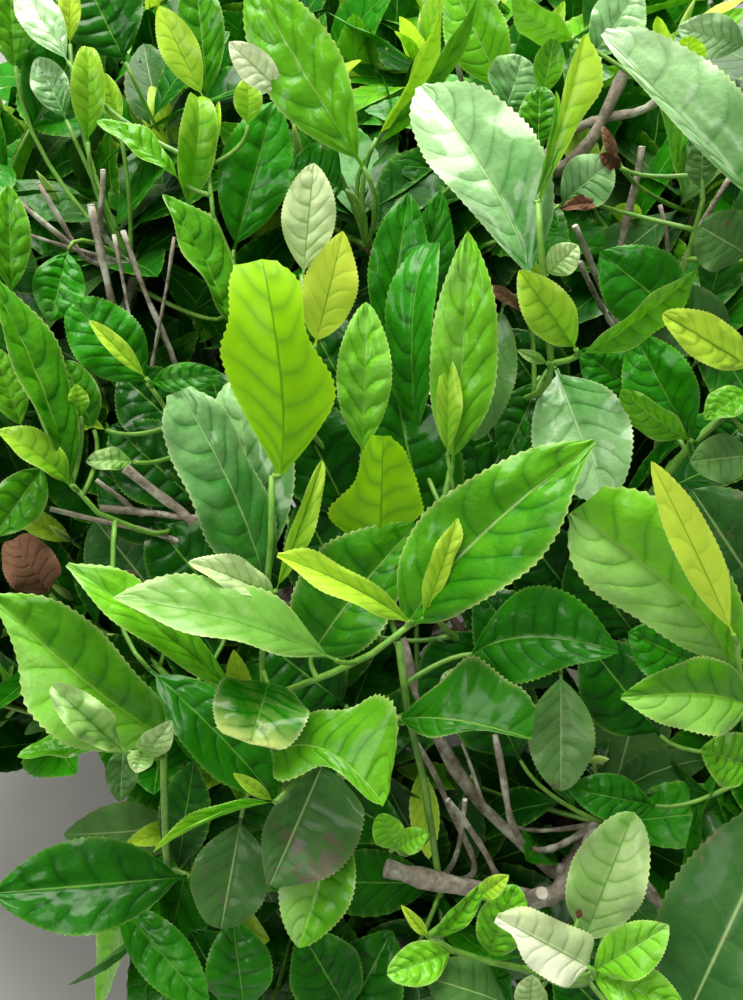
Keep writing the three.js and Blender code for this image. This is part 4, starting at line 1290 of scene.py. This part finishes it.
# Leaves by rule
# Each shoot is set with leaves turned by the golden angle: dark full-grown ones at its foot, fresh
# green ones above, and on most shoots pale young leaves round a bud. Dark old leaves fill the
# inside of the crown along the twigs.
LEAF_LENGTH = 0.088
# Each kind's size as a share of that length, and its width as a share of its own
KINDS = {
    "mature": {"size": 1.0, "slim": 0.42, "fold": 0.22, "bend": 0.55, "quilt": 0.0012},
    "grown": {"size": 0.92, "slim": 0.38, "fold": 0.34, "bend": 0.35, "quilt": 0.0010},
    "young": {"size": 0.62, "slim": 0.36, "fold": 0.55, "bend": 0.2, "quilt": 0.0004},
    "old": {"size": 0.98, "slim": 0.44, "fold": 0.12, "bend": 0.75, "quilt": 0.0006},
}
# Painted shade: leaves deeper inside the crown are toned darker
PAINTED_SHADE_INSIDE, SURFACE = 2.5, 0.92  # how fast leaves darken from this share of the crown inward
LOWEST_LEAF, FURTHEST_OUT = 0.05, 1.09  # bounds of the leaf tips: a height, and a share of the crown
NEAR_DEPTH, NEAR_MARGIN = 640, 60  # nearer than this, in mm, leaves in the frame have teeth
PAST_THE_CROWN = ((-80, 750, 135, 835), (-80, 930, 60, 1080))  # boxes of pixels that stay empty
FACING_UP, WAVE, TONE = 0.45, 0.06, 0.5
TRIED = (0, 0.35, 0.7, 1)  # the places along a leaf that must be free
SCATTERED = {"length": 0.12, "width": 0.1, "fold": 0.12, "bend": 0.3, "curl": 0.3, "twist": 0.35,
             "wave": 0.04, "tone": 0.5}
FRESH_SHARE = 0.66  # of the shoots, those with young leaves and a long bud
LEAVES_A_SHOOT = {"lead": 7, "side": 6}
FIRST_LEAF = 0.16  # the lowest leaf's place, as a share of the shoot
MATURE_BELOW, YOUNG_ABOVE, OLD_BELOW = 0.34, 0.75, 0.2  # shares of a shoot's length
OLD_ON_SHOOTS, OLD_ON_TWIGS = 0.2, 0.6  # a leaf is old where the chance is over this
FIRST_WOODY = 3  # the first point of a twig or stem that carries a leaf
SIZE = {"first": 1.02, "less": 0.18, "twig": 1.0, "front": (0.9, 0.75)}  # of a kind's full size
SPREAD = {"first": 74, "less": 46, "scatter": 10, "twig": 66, "front": 60}  # degrees off the shoot
BUD = {"fresh": 0.026, "resting": 0.010, "slim": 0.085}


def past_the_crown(point):
    x, y, depth = pixel_of(point)
    return any(left < x < right and high < y < low for left, high, right, low in PAST_THE_CROWN)


leaves_of = {(kind, near): [] for kind in KINDS for near in (True, False)}
buds, shoot_runs = [], []


def set_leaf(kind, root, axis, turn, spread, size, chance):
    """Sets a leaf at an angle off its shoot, unless it would come in sight where none is."""
    level = unit(np.cross(axis, UP + 0.01 * RIGHTWARD))  # aslant, so that an upright shoot has one
    aside = turned(level, np.cross(axis, level), turn)
    heading = turned(axis, aside, spread)
    face = unit(axis - heading * (axis @ heading)) + FACING_UP * UP
    form = KINDS[kind]
    length = LEAF_LENGTH * form["size"] * size * (1 + chance(SCATTERED["length"]))
    blade = leaf(
        root, heading, face, length, length * form["slim"] * (1 + chance(SCATTERED["width"])),
        fold=form["fold"] + chance(SCATTERED["fold"]), bend=form["bend"] + chance(SCATTERED["bend"]),
        curl=chance(SCATTERED["curl"]), twist=chance(SCATTERED["twist"]), quilt=form["quilt"],
        wave=WAVE + chance(SCATTERED["wave"]), tone=TONE + chance(SCATTERED["tone"]),
    )
    places = [root + heading * length * share for share in TRIED]
    # painted shade, darker deeper in the crown
    blade["tone"] -= PAINTED_SHADE_INSIDE * max(0, SURFACE - crown_share(places[2]))
    if any(in_sight(place) or past_the_crown(place) for place in places):
        return
    if places[-1][2] < LOWEST_LEAF or crown_share(places[-1]) > FURTHEST_OUT:
        return
    x, y, depth = pixel_of(places[1])
    near = in_frame(x, y, NEAR_MARGIN) and depth < NEAR_DEPTH
    leaves_of[kind, near].append(blade)


def kind_at(share, fresh, chance):
    """Which kind of leaf a shoot carries at a share of its length."""
    if fresh:
        return "young" if share > YOUNG_ABOVE else "mature" if share < MATURE_BELOW else "grown"
    return "old" if share < OLD_BELOW and chance(1) > OLD_ON_SHOOTS else "mature"


def old_or_mature(chance):
    return "old" if chance(1) > OLD_ON_TWIGS else "mature"


chance = seeded(SEED["leaves"])
for points, leads in shoots:
    fresh = abs(chance(1)) < FRESH_SHARE
    turn = chance(math.pi)
    if any(in_sight(point) or past_the_crown(point) for point in points):
        continue
    headings = unit(np.gradient(points, axis=0))
    count = LEAVES_A_SHOOT["lead" if leads else "side"]
    shoot_runs.append(tapered(points, TWIG["tip"] if leads else SHOOT["foot"], SHOOT["tip"]))
    for k in range(count):
        share = k / (count - 1)
        at = int(round((FIRST_LEAF + (1 - FIRST_LEAF) * share) * (len(points) - 1)))
        kind = kind_at(share, fresh, chance)
        spread = math.radians(SPREAD["first"] - SPREAD["less"] * share + chance(SPREAD["scatter"]))
        size = SIZE["first"] - SIZE["less"] * share
        set_leaf(kind, points[at], headings[at], turn, spread, size, chance)
        turn += GOLDEN_ANGLE
    buds.append((points[-1], headings[-1], BUD["fresh" if fresh else "resting"]))
for points, radii in twig_runs + stem_runs:
    headings = unit(np.gradient(points, axis=0))
    turn = chance(math.pi)
    for at in range(FIRST_WOODY, len(points)):
        kind, spread = old_or_mature(chance), math.radians(SPREAD["twig"])
        set_leaf(kind, points[at], headings[at], turn, spread, SIZE["twig"], chance)
        turn += GOLDEN_ANGLE
for points, radii in front_runs + spur_runs:
    headings = -unit(np.gradient(points, axis=0))
    for at in range(1, len(points)):
        kind, spread = old_or_mature(chance), math.radians(SPREAD["front"])
        turn = chance(math.pi)
        for opposite, size in zip((0, math.pi), SIZE["front"]):
            set_leaf(kind, points[at], headings[at], turn + opposite, spread, size, chance)

COLUMNS, PLAIN_ROWS, TOOTHED_ROWS = 4, 12, 24
plain_sheet, toothed_sheet = flat_leaf(COLUMNS, PLAIN_ROWS), flat_leaf(COLUMNS, TOOTHED_ROWS)
for (kind, near), leaves in leaves_of.items():
    sheet, teeth = (toothed_sheet, TEETH_REACH) if near else (plain_sheet, 0)
    name = f"{kind}_leaves_near" if near else f"{kind}_leaves"
    finish_foliage(joined_leaves(name, sheet, leaves, teeth), leaf_materials[kind])

# Stems, twigs, sticks and buds
# Round tapered wood carries the leaves: brown stems and twigs, green shoots of this year, and the
# grey sticks with their pale cut ends. A shoot ends in a bud, a long one where it is still growing.
BUD_PROFILE = (0.15, 0.7, 1.0, 0.95, 0.65, 0.1)
BUD_SHARES = np.linspace(0, 1, len(BUD_PROFILE))[:, None]


def plain_material(name, shade, light, gloss):
    material, shader = new_material(name)
    tree = material.node_tree
    grain = noise(tree, object_place(tree), 120, 4, 0.6)
    tree.links.new(ramp(tree, grain, ((0.35, shade), (0.65, light))), shader.inputs["Base Color"])
    shader.inputs["Roughness"].default_value = gloss
    bump(tree, grain, 0.001, 0.5, shader.inputs["Normal"])
    return material


brown_wood = plain_material("brown_wood", (0.075, 0.045, 0.03), (0.23, 0.155, 0.10), 0.7)
stick_bark = make_bark_material("stick_bark", (0.13, 0.10, 0.07), (0.46, 0.40, 0.32), (0.56, 0.56, 0.46))
cut_wood = plain_material("cut_wood", (0.55, 0.50, 0.42), (0.80, 0.76, 0.68), 0.7)
green_wood = plain_material("green_wood", (0.10, 0.28, 0.03), (0.22, 0.46, 0.06), 0.4)
bud_skin = plain_material("bud_skin", (0.32, 0.56, 0.08), (0.55, 0.74, 0.20), 0.5)
bud_runs = [
    (root + BUD_SHARES * length * heading, np.array(BUD_PROFILE) * length * BUD["slim"])
    for root, heading, length in buds
]
finish_foliage(tubes("foliage_stems", stem_runs, sides=8), brown_wood)
finish_foliage(tubes("brown_twigs", twig_runs, sides=6), brown_wood)
finish_foliage(tubes("green_shoots", shoot_runs, sides=5), green_wood)
finish_foliage(tubes("front_stems", front_runs + spur_runs, sides=8), green_wood)
finish_foliage(tubes("front_sticks", stick_runs, sides=10), stick_bark)
finish_foliage(tubes("cut_ends", cuts, sides=10), cut_wood)
finish_foliage(tubes("buds", bud_runs, sides=5), bud_skin)

# Floor and light
# A plain pale floor to stand on, and the soft light of an overcast sky, which comes from a wide
# lamp over the bush, a weaker one behind it and one to the front left.
FLOOR_SIZE, FLOOR_COLOUR = 12, (0.62, 0.61, 0.59, 1)
LAMP_COLOUR, SKY_COLOUR, SKY_STRENGTH = (1.0, 0.98, 0.90), (0.96, 0.98, 1.0, 1), 0.2
bpy.ops.mesh.primitive_plane_add(size=FLOOR_SIZE)
floor = bpy.context.object
floor.name = "floor"
pale, shader = new_material("pale_floor")
shader.inputs["Base Color"].default_value = FLOOR_COLOUR
shader.inputs["Roughness"].default_value = 0.9
floor.data.materials.append(pale)

SKY_LAMPS = (  # name, place, what it is turned to, size and power
    ("overhead", (-0.2, 0.35, 2.4), (0, 0, 0.5), 1.5, 84),
    ("behind", (0.3, 2.0, 1.7), (0, 0, 0.5), 1.3, 38),
    ("front_left", (-1.2, -1.9, 2.2), (0, 0, 0.5), 1.1, 22),
)
for name, place, target, size, power in SKY_LAMPS:
    bpy.ops.object.light_add(type="AREA", location=place)
    lamp = bpy.context.object
    lamp.name = name
    lamp.data.size, lamp.data.energy, lamp.data.color = size, power, LAMP_COLOUR
    way = lamp.location - type(lamp.location)(target)
    lamp.rotation_euler = way.to_track_quat("Z", "Y").to_euler()
world = bpy.data.worlds.new("studio")
bpy.context.scene.world = world
world.use_nodes = True
world.node_tree.nodes["Background"].inputs["Color"].default_value = SKY_COLOUR
world.node_tree.nodes["Background"].inputs["Strength"].default_value = SKY_STRENGTH
bpy.context.scene.view_settings.view_transform = "Standard"
